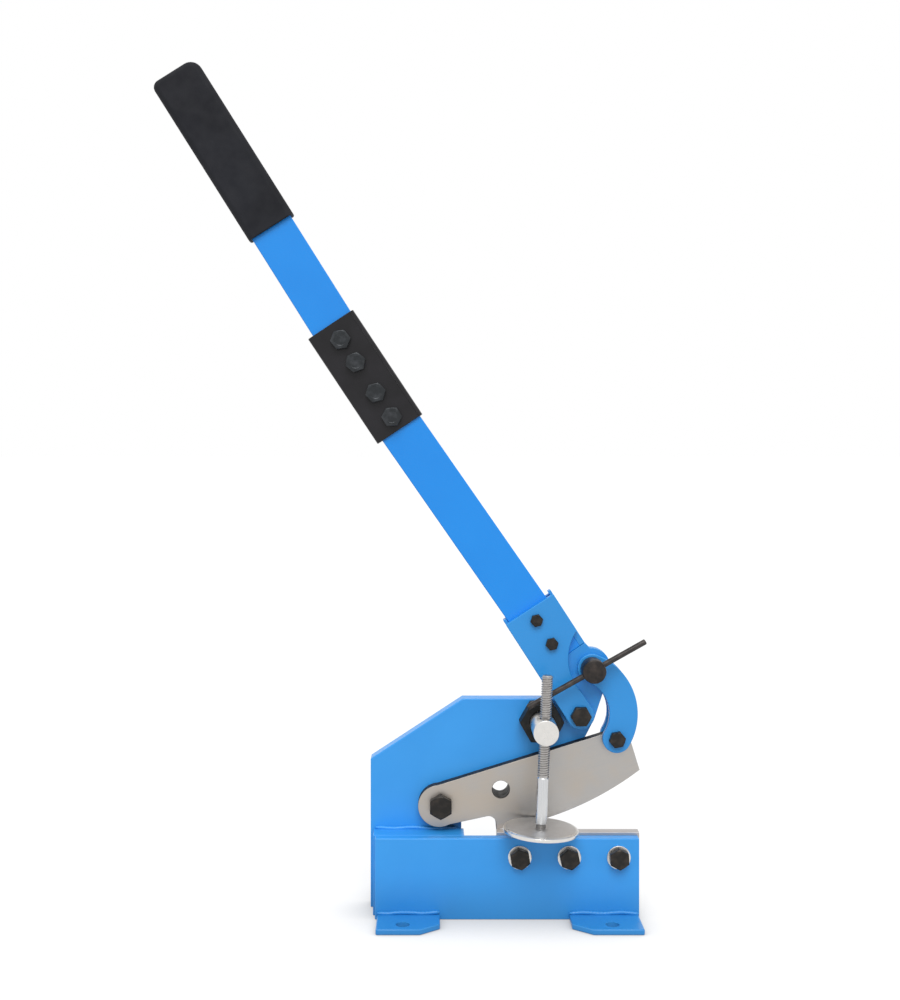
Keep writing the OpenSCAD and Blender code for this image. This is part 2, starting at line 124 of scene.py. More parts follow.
def select_faces(obj: bpy.types.Object, test: Callable[[Vector, Vector], bool]) -> None:
    """Open an object in edit mode with the faces selected that pass a test.

    Args:
        obj: The object to open.
        test: Takes a face's centre and normal and says whether the face is wanted.
    """
    edit(obj, select=False)
    bpy.ops.mesh.select_mode(type="FACE")
    close_edit()
    for face in obj.data.polygons:
        face.select = test(face.center, face.normal)
    bpy.ops.object.mode_set(mode="EDIT")


def apply_all(obj: bpy.types.Object) -> None:
    """Apply every modifier of an object, in order."""
    pick(obj)
    for name in [modifier.name for modifier in obj.modifiers]:
        bpy.ops.object.modifier_apply(modifier=name)


def settle(obj: bpy.types.Object) -> None:
    """Put an object's place, turn and scale into its mesh."""
    pick(obj)
    bpy.ops.object.transform_apply(location=True, rotation=True, scale=True)


def place(obj: bpy.types.Object, matrix: Matrix) -> None:
    """Move an object by a matrix and put that into its mesh."""
    obj.matrix_world = matrix @ obj.matrix_world
    bpy.context.view_layer.update()
    settle(obj)


def join(parts: Sequence[bpy.types.Object], name: str) -> bpy.types.Object:
    """Join several objects into one.

    Args:
        parts: The objects to join; the first one is kept.
        name: The name of the result.

    Returns:
        The joined object.
    """
    pick(*parts)
    if len(parts) > 1:
        bpy.ops.object.join()
    parts[0].name = name
    return parts[0]


def copy_at(obj: bpy.types.Object, matrix: Matrix) -> bpy.types.Object:
    """Copy an object with its own mesh and place the copy.

    Args:
        obj: The object to copy.
        matrix: Where the copy goes.

    Returns:
        The copy.
    """
    pick(obj)
    bpy.ops.object.duplicate(linked=False)
    twin = bpy.context.view_layer.objects.active
    place(twin, matrix)
    return twin


def recalculate(obj: bpy.types.Object, gap: float = 1e-6) -> None:
    """Merge doubles and point every face outwards."""
    edit(obj)
    bpy.ops.mesh.remove_doubles(threshold=gap)
    bpy.ops.mesh.normals_make_consistent(inside=False)
    close_edit()


@dataclass
class Hole:
    """A round hole through a plate: its axis, its place, its radius and its two ends, in millimetres."""

    axis: int
    centre: Vector
    radius: float
    low: float
    high: float


def wall_groups(obj: bpy.types.Object, axis: int) -> list[list[int]]:
    """Group the faces that stand along an axis by the walls that they form.

    Args:
        obj: A plate.
        axis: The axis across the plate, 0 to 2.

    Returns:
        The face numbers of each wall, the outer wall first.
    """
    mesh = obj.data
    owner = list(range(len(mesh.vertices)))

    def root(i: int) -> int:
        """The vertex that stands for a vertex's wall."""
        while owner[i] != i:
            owner[i] = owner[owner[i]]
            i = owner[i]
        return i

    walls = [face for face in mesh.polygons if abs(face.normal[axis]) < 0.2]
    for face in walls:
        for i in face.vertices[1:]:
            owner[root(i)] = root(face.vertices[0])
    groups: dict[int, list[int]] = {}
    for face in walls:
        groups.setdefault(root(face.vertices[0]), []).append(face.index)
    return sorted(groups.values(), key=lambda group: -sum(mesh.polygons[i].area for i in group))


def plug(obj: bpy.types.Object, axis: int) -> list[Hole]:
    """Fill the round holes of a plate and tell where they were.

    Args:
        obj: The plate.
        axis: The axis across the plate, 0 to 2.

    Returns:
        The holes.
    """
    holes = []
    inner = set()
    mesh = obj.data
    for group in wall_groups(obj, axis)[1:]:
        points = [mesh.vertices[i].co / MM for f in group for i in mesh.polygons[f].vertices]
        low = Vector([min(p[k] for p in points) for k in range(3)])
        high = Vector([max(p[k] for p in points) for k in range(3)])
        sides = [k for k in range(3) if k != axis]
        radius = max(high[k] - low[k] for k in sides) / 2
        holes.append(Hole(axis, (low + high) / 2, radius, low[axis], high[axis]))
        inner.update(group)
    if inner:
        edit(obj, select=False)
        bpy.ops.mesh.select_mode(type="FACE")
        close_edit()
        for face in mesh.polygons:
            face.select = face.index in inner
        bpy.ops.object.mode_set(mode="EDIT")
        bpy.ops.mesh.delete(type="FACE")
        bpy.ops.mesh.select_mode(type="VERT")
        bpy.ops.mesh.select_all(action="SELECT")
        bpy.ops.mesh.fill_holes(sides=0)
        bpy.ops.mesh.select_all(action="SELECT")
        bpy.ops.mesh.dissolve_limited(angle_limit=math.radians(0.6))
        bpy.ops.mesh.normals_make_consistent(inside=False)
        close_edit()
    return holes


def drill(obj: bpy.types.Object, hole: Hole, lip: float = 0.35) -> None:
    """Drill a hole with a small chamfer at both of its ends.

    Args:
        obj: The plate.
        hole: The hole.
        lip: The size of the chamfers in millimetres.
    """
    r, low, high = hole.radius, hole.low, hole.high
    tool = turned(
        "drill",
        [(0, low - 1), (r + lip + 1, low - 1), (r, low + lip), (r, high - lip), (r + lip + 1, high + 1), (0, high + 1)],
        64,
    )
    turn = Matrix.Rotation(-math.pi / 2, 4, "X") if hole.axis == 1 else Matrix.Identity(4)
    where = hole.centre.copy()
    where[hole.axis] = 0
    place(tool, Matrix.Translation(where * MM) @ turn)
    cut(obj, tool)


def plated(node: str, name: str, width: float, axis: int = 1, segments: int = 3) -> bpy.types.Object:
    """A plate from a CAD node with rounded edges and chamfered holes.

    Args:
        node: The CAD node.
        name: The new piece's name.
        width: The width of the rounding in millimetres.
        axis: The axis across the plate, 0 to 2.
        segments: The number of steps across the rounding.

    Returns:
        The plate.
    """
    piece = node_copy(node, name)
    holes = plug(piece, axis)
    soften(piece, width, segments)
    for hole in holes:
        drill(piece, hole)
    if holes:
        weigh_normals(piece)
    return piece


def weigh_normals(obj: bpy.types.Object) -> None:
    """Shade an object smooth with flats that stay flat."""
    pick(obj)
    bpy.ops.object.shade_smooth()
    flats = obj.modifiers.new("flats", "WEIGHTED_NORMAL")
    flats.keep_sharp = True
    flats.weight = 100
    apply_all(obj)


def soften(obj: bpy.types.Object, width: float, segments: int = 3, angle: float = 40.0) -> None:
    """Round an object's sharp edges and shade its flats flat.

    Args:
        obj: The object to soften.
        width: The width of the rounding in millimetres.
        segments: The number of steps across the rounding.
        angle: The smallest angle in degrees that counts as an edge.
    """
    pick(obj)
    bevel = obj.modifiers.new("rounding", "BEVEL")
    bevel.width = width * MM
    bevel.segments = segments
    bevel.limit_method = "ANGLE"
    bevel.angle_limit = math.radians(angle)
    bevel.use_clamp_overlap = False
    bevel.loop_slide = False
    apply_all(obj)
    weigh_normals(obj)


def smooth(obj: bpy.types.Object, angle: float = 35.0) -> None:
    """Shade an object smooth except across edges sharper than an angle in degrees."""
    pick(obj)
    bpy.ops.object.shade_smooth_by_angle(angle=math.radians(angle))


def cut(obj: bpy.types.Object, tool: bpy.types.Object, keep_inside: bool = False) -> None:
    """Cut an object with a tool object, which is then deleted.

    Args:
        obj: The object to cut.
        tool: The tool.
        keep_inside: Keep what lies inside the tool instead of what lies outside.
    """
    boolean = obj.modifiers.new("cut", "BOOLEAN")
    boolean.operation = "INTERSECT" if keep_inside else "DIFFERENCE"
    boolean.solver = "EXACT"
    boolean.object = tool
    apply_all(obj)
    pick(tool)
    bpy.ops.object.delete()


def drawn_line(name: str, points: Sequence[Point]) -> bpy.types.Object:
    """Draw a line of vertices in the X Z plane by extruding one vertex.

    Args:
        name: The object's name.
        points: X and Z of each point, in millimetres.

    Returns:
        The object that holds the line.
    """
    clear_selection()
    bpy.ops.mesh.primitive_plane_add(size=MM, location=(0, 0, 0))
    obj = bpy.context.view_layer.objects.active
    obj.name = name
    edit(obj)
    bpy.ops.mesh.merge(type="CENTER")
    bpy.ops.transform.translate(value=(points[0][0] * MM, 0, points[0][1] * MM))
    for (x0, z0), (x1, z1) in zip(points, points[1:]):
        step = ((x1 - x0) * MM, 0, (z1 - z0) * MM)
        bpy.ops.mesh.extrude_region_move(TRANSFORM_OT_translate={"value": step})
    close_edit()
    return obj


def turned(name: str, points: Sequence[Point], steps: int = 72) -> bpy.types.Object:
    """Turn a profile round the Z axis, as on a lathe.

    Args:
        name: The object's name.
        points: Radius and height of each point of the profile, in millimetres.
        steps: The number of steps round the axis.

    Returns:
        The turned object.
    """
    obj = drawn_line(name, points)
    edit(obj)
    bpy.ops.mesh.spin(
        steps=steps, dupli=False, angle=math.tau, use_auto_merge=True, center=(0, 0, 0), axis=(0, 0, 1)
    )
    close_edit()
    recalculate(obj)
    smooth(obj, 30)
    return obj


def rounded_profile(radius: float, low: float, high: float, chamfer: float) -> list[Point]:
    """A round bar's profile with a chamfer at both ends, in millimetres."""
    return [
        (0, low), (radius - chamfer, low), (radius, low + chamfer),
        (radius, high - chamfer), (radius - chamfer, high), (0, high),
    ]


def threaded(name: str, radius: float, pitch: float, low: float, high: float) -> bpy.types.Object:
    """A round bar with a screw thread on it, standing along Z.

    Args:
        name: The object's name.
        radius: The outer radius in millimetres.
        pitch: The thread's pitch in millimetres.
        low: Where the bar starts along Z, in millimetres.
        high: Where the bar ends along Z, in millimetres.

    Returns:
        The bar, closed at both ends.
    """
    root = radius - 0.5 * pitch
    turns = max(1, int((high - low) / pitch) - 1)
    start = low + ((high - low) - turns * pitch) / 2 - pitch / 2
    line = drawn_line(
        name,
        [(root, start), (root, start + 0.2 * pitch), (radius, start + 0.42 * pitch),
         (radius, start + 0.68 * pitch), (root, start + 0.9 * pitch), (root, start + pitch)],
    )
    screw = line.modifiers.new("helix", "SCREW")
    screw.axis = "Z"
    screw.angle = math.tau
    screw.screw_offset = pitch * MM
    screw.iterations = turns
    screw.steps = 28
    screw.render_steps = 28
    screw.use_merge_vertices = True
    apply_all(line)
    edit(line)
    bpy.ops.mesh.remove_doubles(threshold=1e-6)
    bpy.ops.mesh.normals_make_consistent(inside=False)
    close_edit()
    core = turned(name + "_core", rounded_profile(root + 0.06, low, high, 0.3 * pitch))
    bar = join([line, core], name)
    for end, sign in ((low, -1), (high, 1)):
        edit(bar)
        bpy.ops.mesh.bisect(
            plane_co=(0, 0, end * MM), plane_no=(0, 0, sign), clear_outer=True, use_fill=False
        )
        close_edit()
    smooth(bar, 30)
    return bar


def node_copy(node: str, name: str) -> bpy.types.Object:
    """Copy a CAD node as a merged mesh that a finish can be worked on.

    Args:
        node: The CAD node.
        name: The new piece's name.

    Returns:
        The copy, with flat areas in one face each where they have no holes.
    """
    pick(bpy.data.objects[node])
    bpy.ops.object.duplicate(linked=False)
    piece = bpy.context.view_layer.objects.active
    piece.name = name
    bpy.ops.object.parent_clear(type="CLEAR_KEEP_TRANSFORM")
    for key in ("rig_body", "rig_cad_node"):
        if key in piece:
            del piece[key]
    piece.data.materials.clear()
    edit(piece)
    bpy.ops.mesh.customdata_custom_splitnormals_clear()
    bpy.ops.mesh.remove_doubles(threshold=2e-6)
    bpy.ops.mesh.dissolve_limited(angle_limit=math.radians(0.6))
    close_edit()
    return piece


# finishes


class Tree:
    """A small builder for a material's nodes."""

    def __init__(self, name: str) -> None:
        """Start a material with a Principled shader and object coordinates."""
        self.material = bpy.data.materials.new(name)
        self.material.use_nodes = True
        self.nodes = self.material.node_tree.nodes
        self.links = self.material.node_tree.links
        self.nodes.clear()
        self.shader = self.add("ShaderNodeBsdfPrincipled")
        output = self.add("ShaderNodeOutputMaterial")
        self.links.new(self.shader.outputs["BSDF"], output.inputs["Surface"])
        self.place = self.add("ShaderNodeTexCoord").outputs["Object"]

    def add(self, kind: str) -> bpy.types.Node:
        """Add a node of a kind."""
        return self.nodes.new(kind)

    def set(self, **values: float | Sequence[float]) -> None:
        """Set sockets of the shader, named with underscores for blanks."""
        for name, value in values.items():
            socket = name.replace("_", " ").title().replace("Ior", "IOR")
            self.shader.inputs[socket].default_value = value

    def stretched(self, scale: Sequence[float], turn: float = 0.0) -> bpy.types.NodeSocket:
        """Object coordinates turned about Y, in degrees, and scaled."""
        turned_place = self.add("ShaderNodeMapping")
        turned_place.inputs["Rotation"].default_value = (0, math.radians(turn), 0)
        self.links.new(self.place, turned_place.inputs["Vector"])
        mapping = self.add("ShaderNodeMapping")
        mapping.inputs["Scale"].default_value = scale
        self.links.new(turned_place.outputs["Vector"], mapping.inputs["Vector"])
        return mapping.outputs["Vector"]

    def noise(
        self, scale: float, detail: float = 2.0, place: bpy.types.NodeSocket | None = None
    ) -> bpy.types.NodeSocket:
        """A noise pattern's value.

        Args:
            scale: Cells per metre.
            detail: Octaves.
            place: Coordinates, or None for plain object coordinates.

        Returns:
            The socket of the value.
        """
        node = self.add("ShaderNodeTexNoise")
        node.inputs["Scale"].default_value = scale
        node.inputs["Detail"].default_value = detail
        self.links.new(place or self.place, node.inputs["Vector"])
        return node.outputs["Fac"]

    def ramp(
        self, value: bpy.types.NodeSocket, low: float, high: float,
        first: Sequence[float], last: Sequence[float],
    ) -> bpy.types.NodeSocket:
        """A colour that runs from first to last while a value runs from low to high."""
        node = self.add("ShaderNodeValToRGB")
        start, end = node.color_ramp.elements
        start.position, start.color = low, (*first, 1)
        end.position, end.color = high, (*last, 1)
        self.links.new(value, node.inputs["Fac"])
        return node.outputs["Color"]

    def span(
        self, value: bpy.types.NodeSocket, low: float, high: float
    ) -> bpy.types.NodeSocket:
        """A value from about 0.3 to 0.7 spread over low to high."""
        node = self.add("ShaderNodeMapRange")
        node.inputs["From Min"].default_value = 0.3
        node.inputs["From Max"].default_value = 0.7
        node.inputs["To Min"].default_value = low
        node.inputs["To Max"].default_value = high
        self.links.new(value, node.inputs["Value"])
        return node.outputs["Result"]

    def rise(self, axis: str, low: float, high: float, least: float, most: float) -> bpy.types.NodeSocket:
        """A value that rises along an axis.

        Args:
            axis: X, Y or Z.
            low: Where it starts to rise, in metres.
            high: Where it ends, in metres.
            least: The value before low.
            most: The value after high.

        Returns:
            The socket of the value.
        """
        split = self.add("ShaderNodeSeparateXYZ")
        self.links.new(self.place, split.inputs["Vector"])
        node = self.add("ShaderNodeMapRange")
        node.interpolation_type = "SMOOTHSTEP"
        for name, value in (("From Min", low), ("From Max", high), ("To Min", least), ("To Max", most)):
            node.inputs[name].default_value = value
        self.links.new(split.outputs[axis], node.inputs["Value"])
        return node.outputs["Result"]

    def spot(self, x: float, z: float, radius: float, least: float) -> bpy.types.NodeSocket:
        """A grey that falls from 1 at a radius to a least value at a place in X Z, in millimetres."""
        mapping = self.add("ShaderNodeMapping")
        mapping.vector_type = "TEXTURE"
        mapping.inputs["Location"].default_value = (x * MM, 0, z * MM)
        mapping.inputs["Scale"].default_value = (radius * MM, 1, radius * MM)
        self.links.new(self.place, mapping.inputs["Vector"])
        ball = self.add("ShaderNodeTexGradient")
        ball.gradient_type = "QUADRATIC_SPHERE"
        self.links.new(mapping.outputs["Vector"], ball.inputs["Vector"])
        node = self.add("ShaderNodeMapRange")
        node.inputs["To Min"].default_value = 1.0
        node.inputs["To Max"].default_value = least
        self.links.new(ball.outputs["Fac"], node.inputs["Value"])
        return node.outputs["Result"]

    def sum(self, first: bpy.types.NodeSocket, last: bpy.types.NodeSocket) -> bpy.types.NodeSocket:
        """Two values added."""
        node = self.add("ShaderNodeMath")
        self.links.new(first, node.inputs[0])
        self.links.new(last, node.inputs[1])
        return node.outputs["Value"]

    def mix(
        self, share: bpy.types.NodeSocket | float, first: bpy.types.NodeSocket,
        last: bpy.types.NodeSocket, blend: str = "MIX",
    ) -> bpy.types.NodeSocket:
        """Mix two colours."""
        node = self.add("ShaderNodeMix")
        node.data_type = "RGBA"
        node.blend_type = blend
        if isinstance(share, (int, float)):
            node.inputs["Factor"].default_value = share
        else:
            self.links.new(share, node.inputs["Factor"])
        self.links.new(first, node.inputs["A"])
        self.links.new(last, node.inputs["B"])
        return node.outputs["Result"]

    def to(self, socket: bpy.types.NodeSocket, name: str) -> None:
        """Link a socket to an input of the shader."""
        self.links.new(socket, self.shader.inputs[name])

    def bump(self, height: bpy.types.NodeSocket, strength: float, depth: float) -> None:
        """Add relief from a height, its depth in millimetres, on top of what is there."""
        node = self.add("ShaderNodeBump")
        node.inputs["Strength"].default_value = strength
        node.inputs["Distance"].default_value = depth * MM
        self.links.new(height, node.inputs["Height"])
        linked = self.shader.inputs["Normal"].links
        if linked:
            self.links.new(linked[0].from_socket, node.inputs["Normal"])
        self.links.new(node.outputs["Normal"], self.shader.inputs["Normal"])


Colour = tuple[float, float, float]


@dataclass(frozen=True)
class EnamelPaint:
    """Sprayed enamel with a little orange peel, faint clouding, painted shade that darkens it towards the bottom and
    perhaps a painted shade spot.
    """

    name: str
    colour: Colour
    clouded: Colour
    gloss: float = 0.36
    low_shade: float = 0.75
    painted_shade_spot: tuple[float, float, float, float] | None = None

    def material(self) -> bpy.types.Material:
        """Build the paint."""
        tree = Tree(self.name)
        clouds = tree.ramp(tree.noise(14, 3), 0.35, 0.65, self.clouded, self.colour)
        # painted shade: the paint darkens towards the bottom, from its lowest value at the floor to full colour 46 mm
        # up
        paint = tree.mix(1.0, clouds, tree.rise("Z", 0.0, 0.046, self.low_shade, 1.0), "MULTIPLY")
        # painted shade spot: a dark patch that stands for the shadow under the moving blade's heel
        if self.painted_shade_spot:
            paint = tree.mix(1.0, paint, tree.spot(*self.painted_shade_spot), "MULTIPLY")
        tree.to(paint, "Base Color")
        tree.to(tree.span(tree.noise(60, 4), self.gloss - 0.05, self.gloss + 0.07), "Roughness")
        tree.set(specular_ior_level=0.42, coat_weight=0.12, coat_roughness=0.18)
        tree.bump(tree.noise(420, 2), 0.10, 0.25)
        tree.bump(tree.noise(45, 2), 0.06, 0.6)
        return tree.material


@dataclass(frozen=True)
class GroundSteel:
    """Tool steel from the surface grinder, with fine lines, warm and cool patches and perhaps a painted shadow spot."""

    name: str
    warm: Colour
    cool: Colour
    dull: float = 0.42
    turn: float = 0.0
    painted_shadow_spot: tuple[float, float, float, float] | None = None

    def material(self) -> bpy.types.Material:
        """Build the steel."""
        tree = Tree(self.name)
        shift = tree.rise("X", -0.06, 0.10, -0.09, 0.12)
        patches = tree.ramp(tree.sum(tree.noise(28, 4), shift), 0.36, 0.64, self.warm, self.cool)
        lines = tree.noise(1.0, 3, tree.stretched((30, 300, 1400), self.turn))
        dark = tuple(0.82 * c for c in self.cool)
        bright = tuple(min(1.0, 1.12 * c) for c in self.warm)
        streaks = tree.ramp(lines, 0.3, 0.7, dark, bright)
        steel = tree.mix(0.25, patches, streaks)
        # painted shadow: a dark spot that stands for the shadow of the clamp screw and foot on the blade
        if self.painted_shadow_spot:
            steel = tree.mix(1.0, steel, tree.spot(*self.painted_shadow_spot), "MULTIPLY")
        tree.to(steel, "Base Color")
        tree.to(tree.span(lines, self.dull - 0.06, self.dull + 0.1), "Roughness")
        tree.set(metallic=1.0, anisotropic=0.3)
        tree.bump(lines, 0.12, 0.05)
        return tree.material


@dataclass(frozen=True)
class PlatedSteel:
    """Zinc plated steel with a soft crystalline mottle."""

    name: str
    light: Colour
    dark: Colour
    dull: float = 0.34

    def material(self) -> bpy.types.Material:
        """Build the plating."""
        tree = Tree(self.name)
        mottle = tree.noise(220, 4)
        tree.to(tree.ramp(mottle, 0.35, 0.65, self.dark, self.light), "Base Color")
        tree.to(tree.span(tree.noise(90, 3), self.dull - 0.05, self.dull + 0.07), "Roughness")
        tree.set(metallic=1.0)
        tree.bump(mottle, 0.03, 0.05)
        return tree.material


@dataclass(frozen=True)
class BlackOxide:
    """Blackened steel: dark, slightly brown on its high spots."""

    name: str
    colour: Colour
    rubbed: Colour
    dull: float = 0.42

    def material(self) -> bpy.types.Material:
        """Build the finish."""
        tree = Tree(self.name)
        worn = tree.noise(160, 4)
        tree.to(tree.ramp(worn, 0.45, 0.72, self.colour, self.rubbed), "Base Color")
        tree.to(tree.span(tree.noise(240, 3), self.dull - 0.08, self.dull + 0.12), "Roughness")
        tree.set(metallic=0.45, specular_ior_level=0.4)
        tree.bump(tree.noise(900, 2), 0.12, 0.06)
        return tree.material


@dataclass(frozen=True)
class PowderCoat:
    """Black powder coat with a fine pebbled skin."""

    name: str
    colour: Colour
    light: Colour
    dull: float = 0.5

    def material(self) -> bpy.types.Material:
        """Build the coat."""
        tree = Tree(self.name)
        tree.to(tree.ramp(tree.noise(40, 4), 0.35, 0.7, self.colour, self.light), "Base Color")
        tree.to(tree.span(tree.noise(120, 3), self.dull - 0.06, self.dull + 0.1), "Roughness")
        tree.set(specular_ior_level=0.3)
        tree.bump(tree.noise(700, 2), 0.25, 0.15)
        return tree.material


@dataclass(frozen=True)
class GripRubber:
    """Dipped rubber: matt, with a fine grain and dusty high spots."""

    name: str
    colour: Colour
    dusty: Colour

    def material(self) -> bpy.types.Material:
        """Build the rubber."""
        tree = Tree(self.name)
        dust = tree.noise(16, 3)
        tree.to(tree.ramp(dust, 0.38, 0.68, self.colour, self.dusty), "Base Color")
        tree.to(tree.span(tree.noise(90, 3), 0.6, 0.78), "Roughness")
        tree.set(specular_ior_level=0.22, sheen_weight=0.03, sheen_roughness=0.5)
        grain = tree.add("ShaderNodeTexVoronoi")
        grain.inputs["Scale"].default_value = 900
        tree.links.new(tree.place, grain.inputs["Vector"])
        tree.bump(grain.outputs["Distance"], 0.15, 0.15)
        tree.bump(tree.noise(30, 2), 0.08, 0.8)
        return tree.material


@dataclass(frozen=True)
class BearingBronze:
    """Plain bearing bronze, as turned."""

    name: str
    colour: Colour
    shade: Colour

    def material(self) -> bpy.types.Material:
        """Build the bronze."""
        tree = Tree(self.name)
        tree.to(tree.ramp(tree.noise(150, 3), 0.35, 0.65, self.shade, self.colour), "Base Color")
        tree.to(tree.span(tree.noise(300, 2), 0.28, 0.4), "Roughness")
        tree.set(metallic=1.0)
        return tree.material


@dataclass
class Finishes:
    """Every finish on the shear, built once."""

    frame_blue: bpy.types.Material = field(init=False)
    shaded_back_blue: bpy.types.Material = field(init=False)
    lever_blue: bpy.types.Material = field(init=False)
    handle_blue: bpy.types.Material = field(init=False)
    blade_steel: bpy.types.Material = field(init=False)
    edge_steel: bpy.types.Material = field(init=False)
    raw_edge: bpy.types.Material = field(init=False)
    zinc: bpy.types.Material = field(init=False)
    foot_zinc: bpy.types.Material = field(init=False)
    screw_zinc: bpy.types.Material = field(init=False)
    neck_grey: bpy.types.Material = field(init=False)
    shank_steel: bpy.types.Material = field(init=False)
    black_bolts: bpy.types.Material = field(init=False)
    blued_bolts: bpy.types.Material = field(init=False)
    nut_black: bpy.types.Material = field(init=False)
    black_pin: bpy.types.Material = field(init=False)
    bar_black: bpy.types.Material = field(init=False)
    sleeve_black: bpy.types.Material = field(init=False)
    rubber: bpy.types.Material = field(init=False)
    bronze: bpy.types.Material = field(init=False)

    def __post_init__(self) -> None:
        """Build the materials."""
        self.frame_blue = EnamelPaint("frame_blue", (0.038, 0.335, 0.830), (0.032, 0.312, 0.790)).material()
        # the rear plate's blue carries a painted shade spot where the moving blade's heel shades the plate and the
        # ledge
        self.shaded_back_blue = EnamelPaint(
            "shaded_back_blue", (0.038, 0.335, 0.830), (0.032, 0.312, 0.790), painted_shade_spot=(-47, 74, 34, 0.15)
        ).material()
        self.lever_blue = EnamelPaint("lever_blue", (0.028, 0.290, 0.720), (0.025, 0.272, 0.685)).material()
        self.handle_blue = EnamelPaint("handle_blue", (0.005, 0.272, 0.830), (0.004, 0.255, 0.800)).material()
        # the moving blade carries a painted shadow spot left of the clamp screw, above its foot
        self.blade_steel = GroundSteel(
            "blade_steel", (0.475, 0.420, 0.360), (0.435, 0.425, 0.415), turn=17.2, painted_shadow_spot=(15, 89, 42, 0.56)
        ).material()
        self.edge_steel = GroundSteel("edge_steel", (0.56, 0.51, 0.49), (0.50, 0.48, 0.47)).material()
        self.raw_edge = BlackOxide("raw_edge", (0.020, 0.018, 0.016), (0.050, 0.040, 0.034), 0.55).material()
        self.zinc = PlatedSteel("zinc", (0.73, 0.71, 0.68), (0.68, 0.665, 0.64), 0.30).material()
        # darker zinc for the clamp foot's flat faces; its rim gets the lighter zinc as a painted highlight
        self.foot_zinc = PlatedSteel("foot_zinc", (0.60, 0.595, 0.595), (0.57, 0.56, 0.555), 0.36).material()
        self.screw_zinc = PlatedSteel("screw_zinc", (0.47, 0.455, 0.44), (0.40, 0.385, 0.375)).material()
        # darker grey for the clamp screw's neck, a painted shade between the shank and the foot
        self.neck_grey = PlatedSteel("neck_grey", (0.25, 0.24, 0.23), (0.19, 0.185, 0.18), 0.4).material()
        self.shank_steel = GroundSteel(
            "shank_steel", (0.68, 0.68, 0.68), (0.60, 0.61, 0.62), dull=0.26, turn=92.5
        ).material()
        self.black_bolts = BlackOxide("black_bolts", (0.015, 0.0135, 0.012), (0.040, 0.032, 0.026)).material()
        self.blued_bolts = BlackOxide("blued_bolts", (0.022, 0.025, 0.028), (0.050, 0.054, 0.060), 0.30).material()
        self.nut_black = BlackOxide("nut_black", (0.008, 0.009, 0.0095), (0.024, 0.021, 0.018), 0.52).material()
        self.black_pin = BlackOxide("black_pin", (0.020, 0.017, 0.016), (0.050, 0.039, 0.034), 0.38).material()
        self.bar_black = BlackOxide("bar_black", (0.036, 0.032, 0.031), (0.070, 0.060, 0.056), 0.36).material()
        self.sleeve_black = PowderCoat("sleeve_black", (0.007, 0.0065, 0.008), (0.013, 0.012, 0.015), 0.31).material()
        self.rubber = GripRubber("grip_rubber", (0.0075, 0.008, 0.011), (0.015, 0.016, 0.021)).material()
        self.bronze = BearingBronze("bronze", (0.55, 0.34, 0.13), (0.45, 0.27, 0.10)).material()


def dress(
    piece: bpy.types.Object, material: bpy.types.Material | None, body: Body, slot: Slot, *nodes: str
) -> bpy.types.Object:
    """Give a finished piece its material and its body, and hide the nodes that it stands for.

    Args:
        piece: The finished piece.
        material: Its finish, or None to keep those that it has.
        body: The body it moves with.
        slot: The record's slot of its finish; not used.
        nodes: The CAD nodes that it stands for.

    Returns:
        The piece.
    """
    if material:
        piece.data.materials.clear()
        piece.data.materials.append(material)
    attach(piece, body.value)
    if nodes:
        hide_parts(*nodes)
    LOG.info("%s rides on %s with %d faces", piece.name, body.value, len(piece.data.polygons))
    return piece


def refinish(
    piece: bpy.types.Object, material: bpy.types.Material, test: Callable[[Vector, Vector], bool]
) -> None:
    """Give some faces of a dressed piece another finish.

    Args:
        piece: The piece.
        material: The other finish.
        test: Takes a face's centre and normal and says whether the face gets it.
    """
    piece.data.materials.append(material)
    select_faces(piece, test)
    piece.active_material_index = len(piece.data.materials) - 1
    bpy.ops.object.material_slot_assign()
    close_edit()


# places, the same as in the part's source, in millimetres


def lean_dir(angle: float) -> Vector:
    """The direction in X Z that leans to the left by an angle in degrees."""
    return Vector((-math.sin(math.radians(angle)), math.cos(math.radians(angle))))


@dataclass(frozen=True)
class Layout:
    """Where the pivots, the layers and the handle are, in millimetres."""

    pivot: Point = (-56.5, 93.5)
    fulcrum: Point = (66.6, 174.3)
    crank_pin: Point = (76.6, 216.0)
    blade_pin: Point = (98.5, 153.8)
    bar_hole: Point = (-3.3, 107.9)
    stud: Point = (32.7, 167.9)
    y_front: float = -23.0
    y_lower: float = -13.0
    y_shear: float = -3.0
    y_move: float = -2.9
    y_move_back: float = 7.1
    y_rear: float = 7.4
    y_back: float = 23.4
    y_cheek: float = -8.9
    y_cheek_back: float = 13.1
    y_link: float = -9.2
    y_link_back: float = 13.4
    y_screw: float = -38.0
    y_tommy: float = -20.0
    screw_tilt: float = 2.5
    tommy_tilt: float = 29.3
    lean: float = 33.0
    socket_v: float = 13.2
    bar_foot_u: float = 50.0
    bar_low_lean: float = 34.85
    bar_up_lean: float = 32.2
    sleeve_lean: float = 33.6
    lower_bar: float = 303.0
    upper_bar: float = 315.0
    bar_gap: float = 1.0

    def lever_point(self, u: float, v: float) -> Vector:
        """A point in X Z, u up the socket and v to its right."""
        right = Vector((math.cos(math.radians(self.lean)), math.sin(math.radians(self.lean))))
        return Vector(self.fulcrum) + u * lean_dir(self.lean) + v * right

    @property
    def sleeve(self) -> Vector:
        """The middle of the coupling sleeve in X Z."""
        foot = self.lever_point(self.bar_foot_u, self.socket_v)
        return foot + (self.lower_bar + self.bar_gap) * lean_dir(self.bar_low_lean)

    @property
    def upper_foot(self) -> Vector:
        """The lower end of the upper bar in X Z."""
        return self.sleeve + self.bar_gap * lean_dir(self.sleeve_lean)


LAYOUT = Layout()


